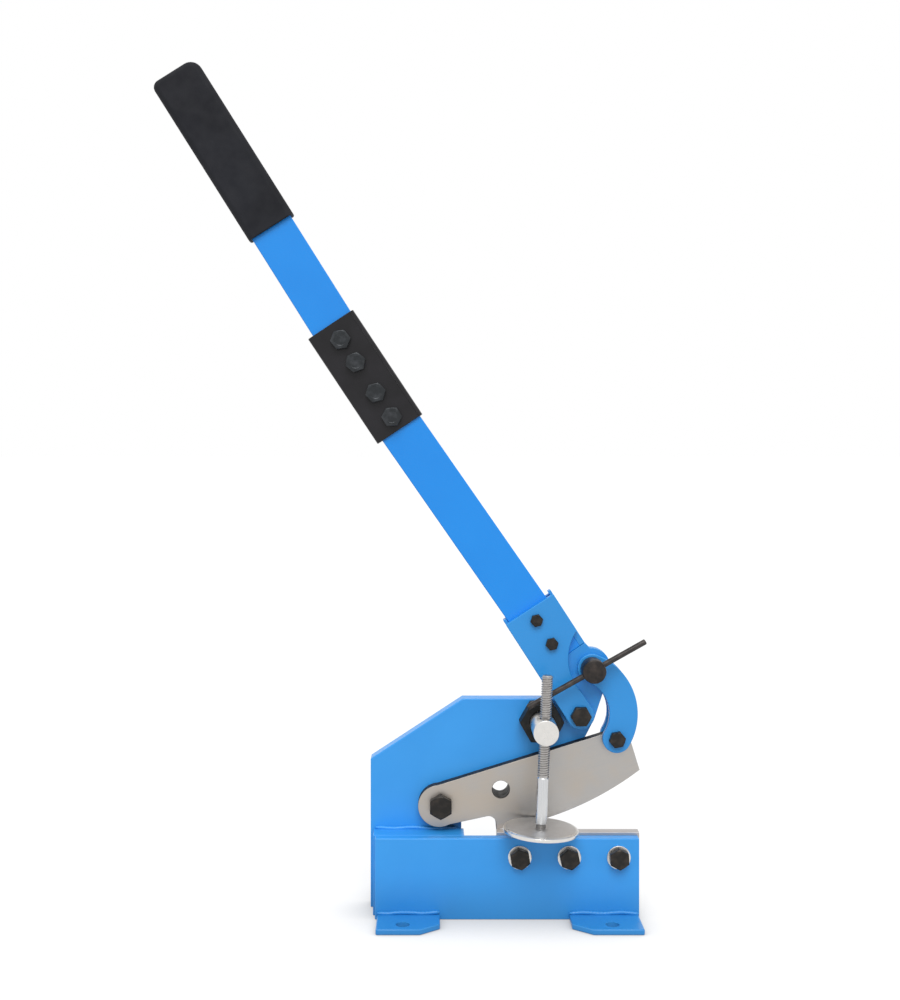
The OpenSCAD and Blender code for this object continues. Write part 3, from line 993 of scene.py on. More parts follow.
def facing_front(at: Iterable[float], y: float, turn: float = 0.0) -> Matrix:
    """A place in X Z and Y whose local Z points to the front.

    Args:
        at: X and Z in millimetres.
        y: Y of the local origin in millimetres.
        turn: A turn about the axis in degrees.

    Returns:
        The matrix from the local frame to the row frame.
    """
    x, z = at
    where = Matrix.Translation(Vector((x, y, z)) * MM)
    return where @ Matrix.Rotation(math.pi / 2, 4, "X") @ Matrix.Rotation(math.radians(turn), 4, "Z")


def facing_back(at: Iterable[float], y: float, turn: float = 0.0) -> Matrix:
    """A place in X Z and Y whose local Z points to the back."""
    x, z = at
    where = Matrix.Translation(Vector((x, y, z)) * MM)
    return where @ Matrix.Rotation(-math.pi / 2, 4, "X") @ Matrix.Rotation(math.radians(turn), 4, "Z")


def hold_down_frame() -> Matrix:
    """The frame of the hold-down, its Z up the clamp screw."""
    x, z = LAYOUT.stud
    where = Matrix.Translation(Vector((x, LAYOUT.y_screw, z)) * MM)
    return where @ Matrix.Rotation(math.radians(LAYOUT.screw_tilt), 4, "Y")


# fasteners


@dataclass(frozen=True)
class HexFastener:
    """A hexagon bolt size with its nut; local Z runs from the head's seat outwards."""

    radius: float
    flats: float
    head: float
    nut: float
    pitch: float

    def hexagon(self, name: str, height: float, both_sides: bool = False) -> bpy.types.Object:
        """A hexagon from 0 to a height with turned off corners.

        Args:
            name: The object's name.
            height: The height in millimetres.
            both_sides: Turn the corners off below as well as above.

        Returns:
            The hexagon, with softened edges.
        """
        clear_selection()
        bpy.ops.mesh.primitive_cylinder_add(
            vertices=6, radius=self.flats / math.sqrt(3) * MM, depth=height * MM,
            location=(0, 0, height / 2 * MM), rotation=(0, 0, math.radians(-30)),
        )
        prism = bpy.context.view_layer.objects.active
        prism.name = name
        settle(prism)
        face = 0.475 * self.flats
        slope = math.tan(math.radians(30))
        for flip in (False, True) if both_sides else (False,):
            wide = face + height / slope
            bpy.ops.mesh.primitive_cone_add(
                vertices=96, radius1=(face if flip else wide) * MM, radius2=(wide if flip else face) * MM,
                depth=height * MM, location=(0, 0, height / 2 * MM),
            )
            cut(prism, bpy.context.view_layer.objects.active, keep_inside=True)
        soften(prism, 0.22, 2, 22)
        return prism

    def bolt(self, name: str, grip: float, thread: float, dish: float = 0.0) -> bpy.types.Object:
        """A bolt whose head stands on 0 and whose shank runs down from there.

        Args:
            name: The object's name.
            grip: The length below the head in millimetres.
            thread: The length of the thread at the lower end in millimetres.
            dish: The depth of the hollow that is stamped into the head, in millimetres.

        Returns:
            The bolt.
        """
        head = self.hexagon(name, self.head)
        if dish:
            r, top = 0.36 * self.flats, self.head
            cut(head, turned(
                name + "_stamp", [(0, top - dish), (0.86 * r, top - dish), (r, top), (r, top + 1), (0, top + 1)], 48
            ))
            weigh_normals(head)
        shank = turned(
            name + "_shank", [(0, 0.1), (self.radius, 0.1), (self.radius, thread - grip), (0, thread - grip)], 40
        )
        tail = threaded(name + "_tail", self.radius, self.pitch, -grip, thread - grip)
        return join([head, shank, tail], name)

    def nut_piece(self, name: str) -> bpy.types.Object:
        """A nut from 0 to its height with a countersunk hole."""
        nut = self.hexagon(name, self.nut, both_sides=True)
        lip = 0.5
        hole = self.radius + 0.05
        bore = turned(
            name + "_bore",
            [(0, -1), (hole + lip + 1, -1), (hole, lip), (hole, self.nut - lip),
             (hole + lip + 1, self.nut + 1), (0, self.nut + 1)], 48,
        )
        cut(nut, bore)
        smooth(nut, 25)
        return nut


M6 = HexFastener(3.0, 10.0, 4.0, 5.0, 1.0)
M8 = HexFastener(4.0, 13.0, 5.3, 6.5, 1.25)
M10 = HexFastener(5.0, 16.0, 6.4, 8.0, 1.5)
M12 = HexFastener(6.0, 19.0, 7.5, 10.0, 1.75)
M22 = HexFastener(11.0, 34.0, 14.0, 18.0, 2.5)
BOLT_END = 2.5


# sub-assemblies


@dataclass
class FramePlates:
    """The welded frame: plates, feet, beads, and the two pivot bolts that it carries."""

    rounding: float = 0.9
    foot_rounding: float = 1.1
    bead_leg: float = 2.5
    ledge_z: float = 70.5
    foot_top: float = 5.0
    bar_hole_radius: float = 7.75

    def build(self, finishes: Finishes) -> None:
        """Build the frame's pieces and dress them."""
        plates = (
            ("rear_plate", self.rounding, finishes.shaded_back_blue),
            ("front_plate", self.rounding, finishes.frame_blue),
            ("spacer_block", 0.6, finishes.frame_blue),
        )
        for node, width, paint in plates:
            piece = plated(node, "painted_" + node, width)
            dress(piece, paint, Body.FRAME, Slot.BLUE_PAINT, node)
            if node == "rear_plate":
                refinish(piece, finishes.raw_edge, self.in_bar_hole)
        for node in ("front_left_foot", "front_right_foot", "rear_left_foot", "rear_right_foot"):
            piece = plated(node, "painted_" + node, self.foot_rounding, axis=2)
            dress(piece, finishes.frame_blue, Body.FRAME, Slot.BLUE_PAINT, node)
        self.weld(finishes)
        self.pivots(finishes)

    def in_bar_hole(self, centre: Vector, normal: Vector) -> bool:
        """Whether a face belongs to the wall of the bar hole, which is finished dark."""
        spot = Vector((centre.x, centre.z)) / MM
        return abs(normal.y) < 0.8 and (spot - Vector(LAYOUT.bar_hole)).length < self.bar_hole_radius + 0.6

    def bead(self, name: str, x0: float, x1: float, y: float, z: float, side: int, seed: int) -> bpy.types.Object:
        """One weld bead along X with the ripples that the arc leaves.

        Args:
            name: The object's name.
            x0: Where the bead starts.
            x1: Where the bead ends.
            y: Y of the wall.
            z: Z of the floor.
            side: -1 for a bead in front of the wall, 1 for one behind it.
            seed: The seed of its unevenness.

        Returns:
            The bead.
        """
        rng = random.Random(seed)
        clear_selection()
        bpy.ops.mesh.primitive_circle_add(
            vertices=14, radius=0.6 * self.bead_leg * MM, fill_type="NGON",
            location=(x0 * MM, (y + side * 0.42 * self.bead_leg) * MM, (z + 0.42 * self.bead_leg) * MM),
            rotation=(0, math.pi / 2, 0),
        )
        obj = bpy.context.view_layer.objects.active
        obj.name = name
        settle(obj)
        edit(obj)
        step = 0.75
        count = int((x1 - x0) / step)
        waves = 4
        size = 1.0
        for i in range(count):
            phase = (i % waves) / waves
            wanted = 1.0 + 0.20 * (1 - phase) + rng.uniform(-0.05, 0.05)
            if i < 2 or i > count - 3:
                wanted = 0.75
            drift = 0.055 * math.sin(i * step / 5.2 + seed) + rng.uniform(-0.05, 0.05)
            bpy.ops.mesh.extrude_region_move(
                TRANSFORM_OT_translate={"value": (step * MM, -0.6 * side * drift * MM, drift * MM)}
            )
            ratio = wanted / size
            bpy.ops.transform.resize(value=(1, ratio, ratio))
            size = wanted
        bpy.ops.mesh.select_all(action="SELECT")
        bpy.ops.mesh.normals_make_consistent(inside=False)
        close_edit()
        smooth(obj, 70)
        return obj

    def weld(self, finishes: Finishes) -> None:
        """Lay the five beads of the frame."""
        top = self.foot_top
        beads = [
            self.bead("ledge_bead", -114.5, -42, LAYOUT.y_rear, self.ledge_z, -1, 3),
            self.bead("bead_a", -112, -57.5, LAYOUT.y_front, top, -1, 5),
            self.bead("bead_b", 55, 115, LAYOUT.y_front, top, -1, 7),
            self.bead("bead_c", -112, -57.5, LAYOUT.y_back, top, 1, 11),
            self.bead("bead_d", 55, 115, LAYOUT.y_lower, top, 1, 13),
        ]
        dress(join(beads, "weld_beads"), finishes.shaded_back_blue, Body.FRAME, Slot.BLUE_PAINT, "frame_welds")

    def pivots(self, finishes: Finishes) -> None:
        """Fit the pivot and fulcrum bolts, their nuts and their bushes."""
        y_head = LAYOUT.y_move - 0.3
        bolt = M12.bolt("pivot_hex_bolt", LAYOUT.y_back + M12.nut + BOLT_END - y_head, 18)
        place(bolt, facing_front(LAYOUT.pivot, y_head, 30))
        dress(bolt, finishes.black_bolts, Body.FRAME, Slot.BLACK_STEEL, "pivot_bolt")
        nut = M12.nut_piece("pivot_hex_nut")
        place(nut, facing_back(LAYOUT.pivot, LAYOUT.y_back, 20))
        dress(nut, finishes.black_bolts, Body.FRAME, Slot.BLACK_STEEL, "pivot_nut")
        y_head = LAYOUT.y_cheek - 0.3
        bolt = M10.bolt("fulcrum_hex_bolt", LAYOUT.y_back + M10.nut + BOLT_END - y_head, 16)
        place(bolt, facing_front(LAYOUT.fulcrum, y_head, 0))
        dress(bolt, finishes.black_bolts, Body.FRAME, Slot.BLACK_STEEL, "fulcrum_bolt")
        nut = M10.nut_piece("fulcrum_hex_nut")
        place(nut, facing_back(LAYOUT.fulcrum, LAYOUT.y_back, 5))
        dress(nut, finishes.black_bolts, Body.FRAME, Slot.BLACK_STEEL, "fulcrum_nut")
        for node in ("pivot_bush", "fulcrum_bush"):
            bush = bpy.data.objects[node]
            bush.data.materials.clear()
            bush.data.materials.append(finishes.bronze)


@dataclass
class BladePair:
    """The fixed lower blade with its bolts and washers, and the moving blade."""

    bolt_x: tuple[float, ...] = (12.0, 55.0, 98.0)
    bolt_turns: tuple[float, ...] = (39.0, 41.0, 33.0)
    bolt_z: float = 54.3
    washer_radius: float = 10.25
    washer_thick: float = 2.0
    hook: Point = (-7.3, 72.4)
    tip: Point = (117.2, 123.4)
    edge_radius: float = 273.0

    def build(self, finishes: Finishes) -> None:
        """Build both blades and what holds the lower one."""
        for node, body, material in (
            ("lower_blade", Body.FRAME, finishes.edge_steel), ("moving_blade", Body.BLADE, finishes.blade_steel),
        ):
            piece = plated(node, "ground_" + node, 0.3, segments=2)
            dress(piece, material, body, Slot.GROUND_STEEL, node)
            if body is Body.BLADE:
                self.leave_raw(piece, finishes.raw_edge)
        r, t, hole = self.washer_radius, self.washer_thick, M10.radius + 0.05
        washer = turned(
            "washer", [(hole, 0), (r - 0.4, 0), (r, 0.4), (r, t - 0.4), (r - 0.4, t), (hole + 0.3, t), (hole, t - 0.3), (hole, 0)]
        )
        y_head = LAYOUT.y_front - self.washer_thick
        bolt = M10.bolt("blade_bolt", LAYOUT.y_shear - 1 - y_head, 12)
        washers = [copy_at(washer, facing_front((x, self.bolt_z), LAYOUT.y_front)) for x in self.bolt_x]
        bolts = [
            copy_at(bolt, facing_front((x, self.bolt_z), y_head, turn))
            for x, turn in zip(self.bolt_x, self.bolt_turns)
        ]
        pick(washer, bolt)
        bpy.ops.object.delete()
        dress(join(washers, "blade_washers"), finishes.zinc, Body.FRAME, Slot.ZINC_STEEL, "lower_blade_washers")
        dress(join(bolts, "blade_hex_bolts"), finishes.black_bolts, Body.FRAME, Slot.BLACK_STEEL, "lower_blade_bolts")

    @property
    def edge_centre(self) -> Vector:
        """The centre of the moving blade's cutting arc in X Z."""
        chord = Vector(self.tip) - Vector(self.hook)
        rise = math.sqrt(self.edge_radius ** 2 - chord.length_squared / 4)
        return (Vector(self.hook) + Vector(self.tip)) / 2 + rise * Vector((-chord.y, chord.x)).normalized()

    def leave_raw(self, blade: bpy.types.Object, scale: bpy.types.Material) -> None:
        """Leave the hardening scale on the blade's narrow faces, except its cutting edge and its tip.

        Args:
            blade: The moving blade.
            scale: The finish of the narrow faces.
        """

        def raw(centre: Vector, normal: Vector) -> bool:
            """Whether a face kept its scale."""
            spot = Vector((centre.x, centre.z)) / MM
            ground = abs((spot - self.edge_centre).length - self.edge_radius) < 1.2 or spot.x > 110
            return abs(normal.y) < 0.75 and not ground

        refinish(blade, scale, raw)


@dataclass
class LeverHead:
    """The crank, the cheeks and the walls of the handle socket, and its screws."""

    rounding: float = 0.8
    screw_u: tuple[float, ...] = (67.0, 91.6)
    foot_top: float = 64.0
    foot_gap: float = 0.9

    def build(self, finishes: Finishes) -> None:
        """Build the lever's head."""
        for node, width in (("crank_plate", 0.6), ("front_cheek", self.rounding), ("rear_cheek", self.rounding)):
            piece = plated(node, "painted_" + node, width)
            dress(piece, finishes.lever_blue, Body.LEVER, Slot.BLUE_PAINT, node)
        sides = node_copy("socket_sides", "painted_socket_sides")
        self.close_foot(sides)
        soften(sides, 0.5)
        dress(sides, finishes.lever_blue, Body.LEVER, Slot.BLUE_PAINT, "socket_sides")
        grip = LAYOUT.y_cheek_back - 1 - LAYOUT.y_cheek
        screw = M6.bolt("socket_screw", grip, 8)
        screws = [
            copy_at(screw, facing_front(LAYOUT.lever_point(u, LAYOUT.socket_v), LAYOUT.y_cheek, 12))
            for u in self.screw_u
        ]
        pick(screw)
        bpy.ops.object.delete()
        dress(join(screws, "socket_hex_screws"), finishes.black_bolts, Body.LEVER, Slot.BLACK_STEEL, "socket_screws")

    def close_foot(self, sides: bpy.types.Object) -> None:
        """Bring the thick foot of the right wall against the bar's end, where the real one is welded up."""
        x, z = LAYOUT.lever_point(0, 1) - LAYOUT.lever_point(0, 0)
        right = Vector((x, 0, z))

        def at_foot(centre: Vector, normal: Vector) -> bool:
            """Whether a face is the inner side of the foot."""
            spot = Vector((centre.x, centre.z)) / MM - Vector(LAYOUT.fulcrum)
            beside = spot.dot(Vector((x, z))) > LAYOUT.socket_v
            return beside and normal.dot(right) < -0.99 and spot.dot(lean_dir(LAYOUT.lean)) < self.foot_top

        select_faces(sides, at_foot)
        bpy.ops.transform.translate(value=-self.foot_gap * MM * right)
        close_edit()


@dataclass
class Handle:
    """The two flat bars, the bolted coupling sleeve between them and the grip."""

    sleeve_wall: float = 2.1
    shoulder: float = 3.0
    clearance: float = 0.3
    bolt_places: tuple[float, ...] = (39.0, 15.0, -17.0, -42.5)
    bolt_turns: tuple[float, ...] = (8.0, 21.0, 14.0, 2.0)
    grip_len: float = 164.0
    grip_wide: float = 46.0
    grip_deep: float = 18.0
    grip_cap: float = 4.0
    corner_left: float = 7.0
    corner_right: float = 11.0

    def build(self, finishes: Finishes) -> None:
        """Build the handle."""
        for node in ("lower_bar", "upper_bar"):
            piece = plated(node, "painted_" + node, 0.9)
            dress(piece, finishes.handle_blue, Body.LEVER, Slot.BLUE_PAINT, node)
        dress(self.sleeve(), finishes.sleeve_black, Body.LEVER, Slot.BLACK_PAINT, "coupling_sleeve")
        self.fasteners(finishes)
        dress(self.grip(), finishes.rubber, Body.LEVER, Slot.BLACK_RUBBER, "grip")

    def sleeve(self) -> bpy.types.Object:
        """Model the coupling sleeve with the round shoulders of a folded tube."""
        piece = node_copy("coupling_sleeve", "coated_sleeve")
        holes = plug(piece, 1)
        edit(piece, select=False)
        bpy.ops.mesh.select_mode(type="EDGE")
        close_edit()
        front = min(v.co.y for v in piece.data.vertices)
        back = max(v.co.y for v in piece.data.vertices)
        for edge in piece.data.edges:
            a, b = (piece.data.vertices[i].co for i in edge.vertices)
            outside = all(min(p.y - front, back - p.y) < 1e-5 for p in (a, b)) and abs(a.y - b.y) < 1e-5
            run = Vector((b.x - a.x, b.z - a.z))
            edge.select = outside and abs(run.dot(lean_dir(LAYOUT.sleeve_lean))) > 0.999 * run.length
        bpy.ops.object.mode_set(mode="EDIT")
        bpy.ops.mesh.bevel(offset=self.shoulder * MM, segments=6, affect="EDGES", clamp_overlap=False)
        close_edit()
        soften(piece, 0.4)
        for hole in holes:
            drill(piece, hole)
        weigh_normals(piece)
        return piece

    def fasteners(self, finishes: Finishes) -> None:
        """Fit the coupling's four bolts and nuts."""
        y_head = LAYOUT.y_move - self.clearance - self.sleeve_wall
        y_nut = LAYOUT.y_move_back + self.clearance + self.sleeve_wall
        bolt = M10.bolt("coupling_bolt", y_nut + M10.nut + BOLT_END - y_head, 16, dish=0.5)
        nut = M10.nut_piece("coupling_nut")
        spots = [LAYOUT.sleeve + d * lean_dir(LAYOUT.sleeve_lean) for d in self.bolt_places]
        bolts = [copy_at(bolt, facing_front(p, y_head, a)) for p, a in zip(spots, self.bolt_turns)]
        nuts = [copy_at(nut, facing_back(p, y_nut, 22 + a)) for p, a in zip(spots, self.bolt_turns)]
        pick(bolt, nut)
        bpy.ops.object.delete()
        dress(join(bolts, "coupling_hex_bolts"), finishes.blued_bolts, Body.LEVER, Slot.BLACK_STEEL, "coupling_bolts")
        dress(join(nuts, "coupling_hex_nuts"), finishes.blued_bolts, Body.LEVER, Slot.BLACK_STEEL, "coupling_nuts")

    def grip(self) -> bpy.types.Object:
        """Model the rubber grip: a soft sleeve, closed and rounded at its outer end."""
        low = LAYOUT.upper_bar + self.grip_cap - self.grip_len
        high = low + self.grip_len
        clear_selection()
        bpy.ops.mesh.primitive_cube_add(size=1)
        obj = bpy.context.view_layer.objects.active
        obj.name = "rubber_grip"
        obj.scale = (self.grip_wide * MM, self.grip_deep * MM, self.grip_len * MM)
        obj.location = (0, 0, (low + high) / 2 * MM)
        settle(obj)
        self.pocket(obj)
        for side, radius in ((-1, self.corner_left), (1, self.corner_right)):
            self.round_corner(obj, side, high, radius)
        weights = obj.data.attributes.new("bevel_weight_edge", "FLOAT", "EDGE")
        for edge in obj.data.edges:
            a, b = (obj.data.vertices[i].co for i in edge.vertices)
            outside = all(abs(abs(p.y) - self.grip_deep / 2 * MM) < 1e-5 for p in (a, b))
            same_side = (a.y > 0) == (b.y > 0)
            rim = max(a.z, b.z) < (low + 0.5) * MM
            if rim:
                weights.data[edge.index].value = 0.18
            elif outside and same_side:
                weights.data[edge.index].value = 1.0
        bevel = obj.modifiers.new("soft", "BEVEL")
        bevel.width = 5.6 * MM
        bevel.segments = 8
        bevel.limit_method = "WEIGHT"
        apply_all(obj)
        soften(obj, 0.4, 2, 50)
        frame = Matrix.Translation(
            Vector((LAYOUT.upper_foot.x, (LAYOUT.y_move + LAYOUT.y_move_back) / 2, LAYOUT.upper_foot.y)) * MM
        ) @ Matrix.Rotation(math.radians(-LAYOUT.bar_up_lean), 4, "Y")
        place(obj, frame)
        return obj

    def pocket(self, obj: bpy.types.Object) -> None:
        """Open the grip's lower end for the bar."""
        select_faces(obj, lambda centre, normal: normal.z < -0.9)
        bpy.ops.mesh.inset(thickness=3.3 * MM, depth=0)
        bpy.ops.mesh.extrude_region_move(TRANSFORM_OT_translate={"value": (0, 0, 9 * MM)})
        close_edit()

    def round_corner(self, obj: bpy.types.Object, side: int, high: float, radius: float) -> None:
        """Round one of the outer end's two corners in the plane of the bar."""
        edit(obj, select=False)
        bpy.ops.mesh.select_mode(type="EDGE")
        close_edit()
        for edge in obj.data.edges:
            a, b = (obj.data.vertices[i].co for i in edge.vertices)
            at_corner = all(abs(p.x - side * self.grip_wide / 2 * MM) < 1e-5 for p in (a, b))
            at_end = all(abs(p.z - high * MM) < 1e-5 for p in (a, b))
            edge.select = at_corner and at_end
        bpy.ops.object.mode_set(mode="EDIT")
        bpy.ops.mesh.bevel(offset=radius * MM, segments=8, affect="EDGES", clamp_overlap=False)
        close_edit()


@dataclass
class LinkDrive:
    """The curved links, their lower bolt, and the link pin with its tommy bar."""

    head_radius: float = 10.3
    head_half: float = 8.0
    gap: float = 0.3
    bar_radius: float = 2.5
    bar_left: float = 66.0
    bar_right: float = 52.0

    def build(self, finishes: Finishes) -> None:
        """Build the link drive."""
        for node in ("front_link", "rear_link"):
            piece = plated(node, "painted_" + node, 0.9)
            dress(piece, finishes.lever_blue, Body.LINK, Slot.BLUE_PAINT, node)
        bolt = M8.bolt("link_hex_bolt", LAYOUT.y_link_back + M8.nut + BOLT_END - LAYOUT.y_link, 12)
        place(bolt, facing_front(LAYOUT.blade_pin, LAYOUT.y_link, 10))
        dress(bolt, finishes.black_bolts, Body.LINK, Slot.BLACK_STEEL, "link_bolt")
        nut = M8.nut_piece("link_hex_nut")
        place(nut, facing_back(LAYOUT.blade_pin, LAYOUT.y_link_back, 25))
        dress(nut, finishes.black_bolts, Body.LINK, Slot.BLACK_STEEL, "link_nut")
        self.pin(finishes)

    def pin(self, finishes: Finishes) -> None:
        """Build the cross drilled pin, its nut and the bar that slides in it."""
        seat = LAYOUT.y_link - self.gap
        front = LAYOUT.y_tommy - self.head_half
        tall = seat - front
        r = self.head_radius
        head = turned(
            "cross_pin", [(0, 0), (r - 0.6, 0), (r, 0.6), (r, tall - 1.1), (r - 0.35, tall - 0.4), (r - 1.1, tall), (0, tall)]
        )
        bpy.ops.mesh.primitive_cylinder_add(
            vertices=48, radius=(self.bar_radius + 0.1) * MM, depth=6 * r * MM,
            location=(0, 0, (seat - LAYOUT.y_tommy) * MM), rotation=(0, math.pi / 2, 0),
        )
        cut(head, bpy.context.view_layer.objects.active)
        smooth(head, 30)
        y_nut = LAYOUT.y_link_back + self.gap
        length = y_nut + M8.nut + BOLT_END - seat
        shank = turned("cross_pin_shank", [(0, 0.1), (M8.radius, 0.1), (M8.radius, 12 - length), (0, 12 - length)], 40)
        tail = threaded("cross_pin_tail", M8.radius, M8.pitch, -length, 12 - length)
        pin = join([head, shank, tail], "cross_drilled_pin")
        place(pin, facing_front(LAYOUT.crank_pin, seat, LAYOUT.tommy_tilt))
        dress(pin, finishes.black_pin, Body.PIN, Slot.BLACK_STEEL, "link_pin")
        nut = M8.nut_piece("cross_pin_nut")
        place(nut, facing_back(LAYOUT.crank_pin, y_nut, 5))
        dress(nut, finishes.black_bolts, Body.PIN, Slot.BLACK_STEEL, "link_pin_nut")
        bar = turned("sliding_bar", rounded_profile(self.bar_radius, -self.bar_left, self.bar_right, 0.7), 36)
        x, z = LAYOUT.crank_pin
        where = Matrix.Translation(Vector((x, LAYOUT.y_tommy, z)) * MM)
        place(bar, where @ Matrix.Rotation(math.radians(90 - LAYOUT.tommy_tilt), 4, "Y"))
        dress(bar, finishes.bar_black, Body.TOMMY, Slot.BLACK_STEEL, "tommy_bar")


@dataclass
class HoldDown:
    """The stud with its nut, the clamp screw and the round foot."""

    stud_radius: float = 11.0
    stud_front: float = -50.0
    flange_radius: float = 16.0
    flange_thick: float = 8.0
    gap: float = 0.3
    screw_radius: float = 5.0
    screw_pitch: float = 2.0
    neck_radius: float = 4.0
    neck_low: float = -86.6
    shank_low: float = -80.1
    thread_low: float = -41.0
    screw_top: float = 47.4
    foot_low: float = -87.0
    foot_radius: float = 32.5
    foot_thick: float = 3.8

    def build(self, finishes: Finishes) -> None:
        """Build the hold-down."""
        dress(self.stud(), finishes.zinc, Body.CLAMP, Slot.ZINC_STEEL, "clamp_stud")
        nut = M22.nut_piece("stud_hex_nut")
        place(nut, facing_back(LAYOUT.stud, LAYOUT.y_move_back - M22.nut))
        dress(nut, finishes.nut_black, Body.CLAMP, Slot.BLACK_STEEL, "clamp_nut")
        dress(self.screw(finishes), None, Body.SCREW, Slot.ZINC_STEEL, "clamp_screw")
        foot = dress(self.foot(), finishes.foot_zinc, Body.FOOT, Slot.ZINC_STEEL, "clamp_foot")
        # painted highlight: the rim and its rounded edge get the lighter zinc, the flat faces the darker foot_zinc
        refinish(foot, finishes.zinc, lambda centre, normal: abs(normal.z) < 0.985)

    def stud(self) -> bpy.types.Object:
        """Turn the stud and drill its cross hole."""
        back = LAYOUT.y_back + self.gap
        r, f = self.stud_radius, self.flange_radius
        end = back + self.flange_thick
        stud = turned(
            "turned_stud",
            [(0, -self.stud_front), (r - 1, -self.stud_front), (r - 0.25, -self.stud_front - 0.3),
             (r, -self.stud_front - 1), (r, -back), (f - 0.8, -back), (f, -back - 0.8),
             (f, -end + 1), (f - 1, -end), (0, -end)], 96,
        )
        place(stud, facing_front(LAYOUT.stud, 0))
        bpy.ops.mesh.primitive_cylinder_add(vertices=64, radius=(self.screw_radius + 0.1) * MM, depth=60 * MM)
        drill = bpy.context.view_layer.objects.active
        place(drill, hold_down_frame())
        cut(stud, drill)
        smooth(stud, 30)
        return stud

    def screw(self, finishes: Finishes) -> bpy.types.Object:
        """Make the clamp screw: thread above, plain shank and neck below."""
        r, n = self.screw_radius, self.neck_radius
        neck = turned(
            "plain_neck",
            [(0, self.neck_low), (n, self.neck_low), (n, self.shank_low + 0.2), (0, self.shank_low + 0.2)], 48,
        )
        shank = turned(
            "plain_shank",
            [(0, self.shank_low), (r - 0.7, self.shank_low), (r, self.shank_low + 0.7), (r, self.thread_low),
             (r - 0.8, self.thread_low + 1), (0, self.thread_low + 1)], 56,
        )
        thread = threaded("screw_thread", r, self.screw_pitch, self.thread_low, self.screw_top)
        # painted shade: the neck's darker grey stands for the shade between the shank and the foot
        neck.data.materials.append(finishes.neck_grey)
        shank.data.materials.append(finishes.shank_steel)
        thread.data.materials.append(finishes.screw_zinc)
        screw = join([shank, thread, neck], "threaded_clamp_screw")
        place(screw, hold_down_frame())
        return screw

    def foot(self) -> bpy.types.Object:
        """Turn the foot with its hole for the screw's riveted neck."""
        r, t, n = self.foot_radius, self.foot_thick, self.neck_radius + 0.05
        foot = turned(
            "turned_foot",
            [(n, 0), (r - 0.7, 0), (r - 0.2, 0.2), (r, 0.7), (r, t - 1.5), (r - 0.3, t - 0.9),
             (r - 1.1, t - 0.4), (r - 2.6, t), (n, t), (n, 0)], 128,
        )
        weigh_normals(foot)
        place(foot, hold_down_frame() @ Matrix.Translation((0, 0, self.foot_low * MM)))
        return foot


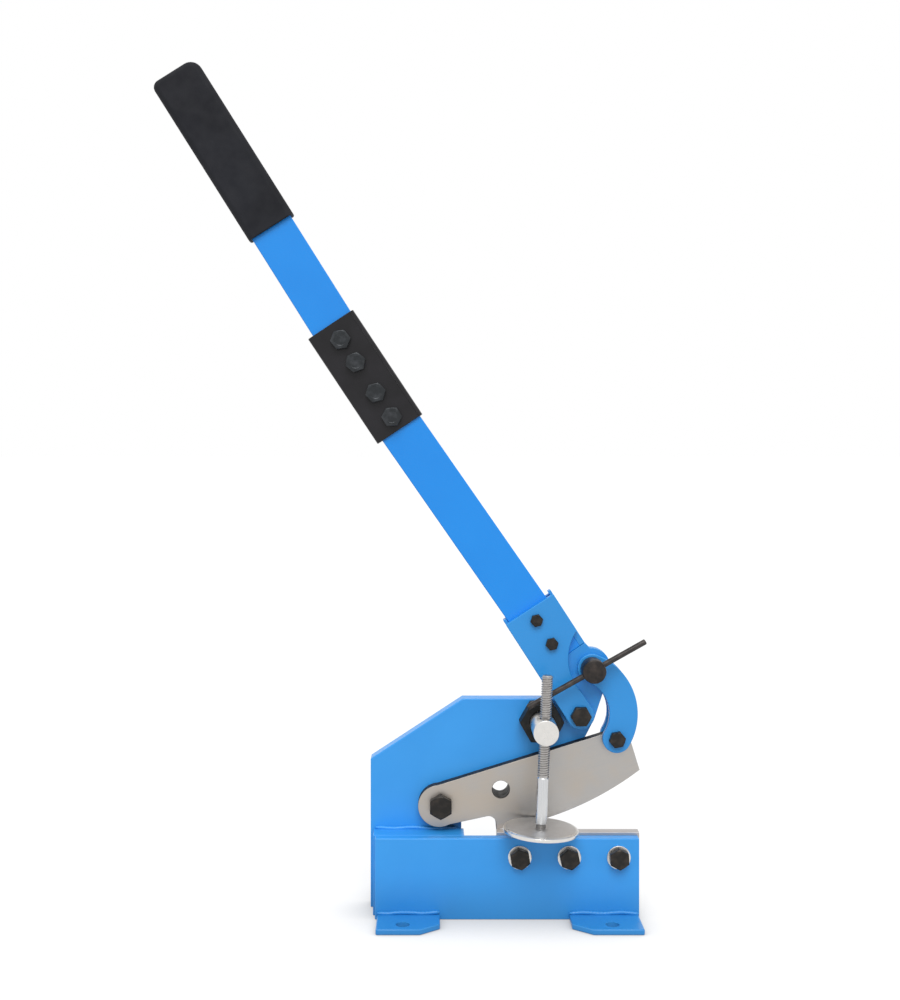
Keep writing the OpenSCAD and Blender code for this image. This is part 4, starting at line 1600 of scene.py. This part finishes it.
@dataclass
class Studio:
    """The white sweep, the soft light and the camera."""

    eye: tuple[float, float, float] = (-66.0, -1153.0, 417.0)
    shift: tuple[float, float] = (0.02, -0.06)
    lens: float = 46.8
    floor_size: float = 60.0
    floor_shade: float = 0.45
    floor_glow: float = 0.55
    contact_reach: float = 0.07
    contact_dark: float = 0.62
    sky: float = 0.80
    key_from: tuple[float, float, float] = (-0.05, -1.5, 1.65)
    key_power: float = 1.58
    key_spread: float = 36.0

    def build(self) -> None:
        """Set up the studio."""
        bpy.context.scene.view_settings.view_transform = "Standard"
        self.camera()
        self.floor()
        self.world()
        self.key()

    def camera(self) -> None:
        """Stand the camera where the photograph was taken from."""
        data = bpy.data.cameras.new("camera")
        data.lens = self.lens
        data.sensor_width = 36
        data.shift_x, data.shift_y = self.shift
        data.clip_end = 60
        camera = bpy.data.objects.new("camera", data)
        camera.location = Vector(self.eye) * MM
        camera.rotation_euler = (math.pi / 2, 0, 0)
        bpy.context.scene.collection.objects.link(camera)
        bpy.context.scene.camera = camera

    def floor(self) -> None:
        """Lay the white floor, which keeps the object's shadow and gets a painted contact shade from ambient occlusion.
        """
        clear_selection()
        bpy.ops.mesh.primitive_plane_add(size=self.floor_size)
        floor = bpy.context.view_layer.objects.active
        floor.name = "floor"
        material = bpy.data.materials.new("floor_white")
        material.use_nodes = True
        nodes, links = material.node_tree.nodes, material.node_tree.links
        nodes.clear()
        # painted contact shade: ambient occlusion darkens the floor's colour next to the shear
        near = nodes.new("ShaderNodeAmbientOcclusion")
        near.inputs["Distance"].default_value = self.contact_reach
        near.samples = 16
        contact = nodes.new("ShaderNodeMapRange")
        contact.inputs["From Min"].default_value = 0.35
        contact.inputs["From Max"].default_value = 0.92
        contact.inputs["To Min"].default_value = self.contact_dark
        links.new(near.outputs["AO"], contact.inputs["Value"])
        white = nodes.new("ShaderNodeBsdfDiffuse")
        glow = nodes.new("ShaderNodeEmission")
        for shader, level in ((white, self.floor_shade), (glow, self.floor_glow)):
            shade = nodes.new("ShaderNodeVectorMath")
            shade.operation = "SCALE"
            shade.inputs[0].default_value = (level, level, level)
            links.new(contact.outputs["Result"], shade.inputs["Scale"])
            links.new(shade.outputs["Vector"], shader.inputs["Color"])
        rays = nodes.new("ShaderNodeLightPath")
        seen = nodes.new("ShaderNodeMath")
        seen.operation = "MAXIMUM"
        links.new(rays.outputs["Is Camera Ray"], seen.inputs[0])
        links.new(rays.outputs["Is Glossy Ray"], seen.inputs[1])
        links.new(seen.outputs["Value"], glow.inputs["Strength"])
        both = nodes.new("ShaderNodeAddShader")
        output = nodes.new("ShaderNodeOutputMaterial")
        links.new(white.outputs["BSDF"], both.inputs[0])
        links.new(glow.outputs["Emission"], both.inputs[1])
        links.new(both.outputs["Shader"], output.inputs["Surface"])
        floor.data.materials.append(material)

    def world(self) -> None:
        """Make the surroundings white to look at and softer as a light."""
        world = bpy.data.worlds.new("white_tent")
        bpy.context.scene.world = world
        world.use_nodes = True
        nodes, links = world.node_tree.nodes, world.node_tree.links
        nodes.clear()
        rays = nodes.new("ShaderNodeLightPath")
        seen = nodes.new("ShaderNodeMath")
        seen.operation = "MAXIMUM"
        links.new(rays.outputs["Is Camera Ray"], seen.inputs[0])
        links.new(rays.outputs["Is Transmission Ray"], seen.inputs[1])
        bright = nodes.new("ShaderNodeMath")
        bright.operation = "MAXIMUM"
        links.new(seen.outputs["Value"], bright.inputs[0])
        links.new(rays.outputs["Is Glossy Ray"], bright.inputs[1])
        strength = nodes.new("ShaderNodeMapRange")
        strength.inputs["To Min"].default_value = self.sky
        strength.inputs["To Max"].default_value = 1.0
        links.new(bright.outputs["Value"], strength.inputs["Value"])
        background = nodes.new("ShaderNodeBackground")
        background.inputs["Color"].default_value = (1, 1, 1, 1)
        links.new(strength.outputs["Result"], background.inputs["Strength"])
        output = nodes.new("ShaderNodeOutputWorld")
        links.new(background.outputs["Background"], output.inputs["Surface"])

    def key(self) -> None:
        """Hang the large soft key light in front of the shear, high and a little to the right."""
        data = bpy.data.lights.new("key", "SUN")
        data.energy = self.key_power
        data.angle = math.radians(self.key_spread)
        lamp = bpy.data.objects.new("key", data)
        lamp.location = self.key_from
        lamp.rotation_euler = (-Vector(self.key_from)).to_track_quat("-Z", "Y").to_euler()
        bpy.context.scene.collection.objects.link(lamp)


def main() -> None:
    """Load the frame, build every sub-assembly and the studio."""
    logging.basicConfig(level=logging.INFO, format="%(message)s")
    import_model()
    clear_selection()
    finishes = Finishes()
    for part in (FramePlates(), BladePair(), LeverHead(), Handle(), LinkDrive(), HoldDown()):
        part.build(finishes)
    Studio().build()


if __name__ == "__main__":
    main()
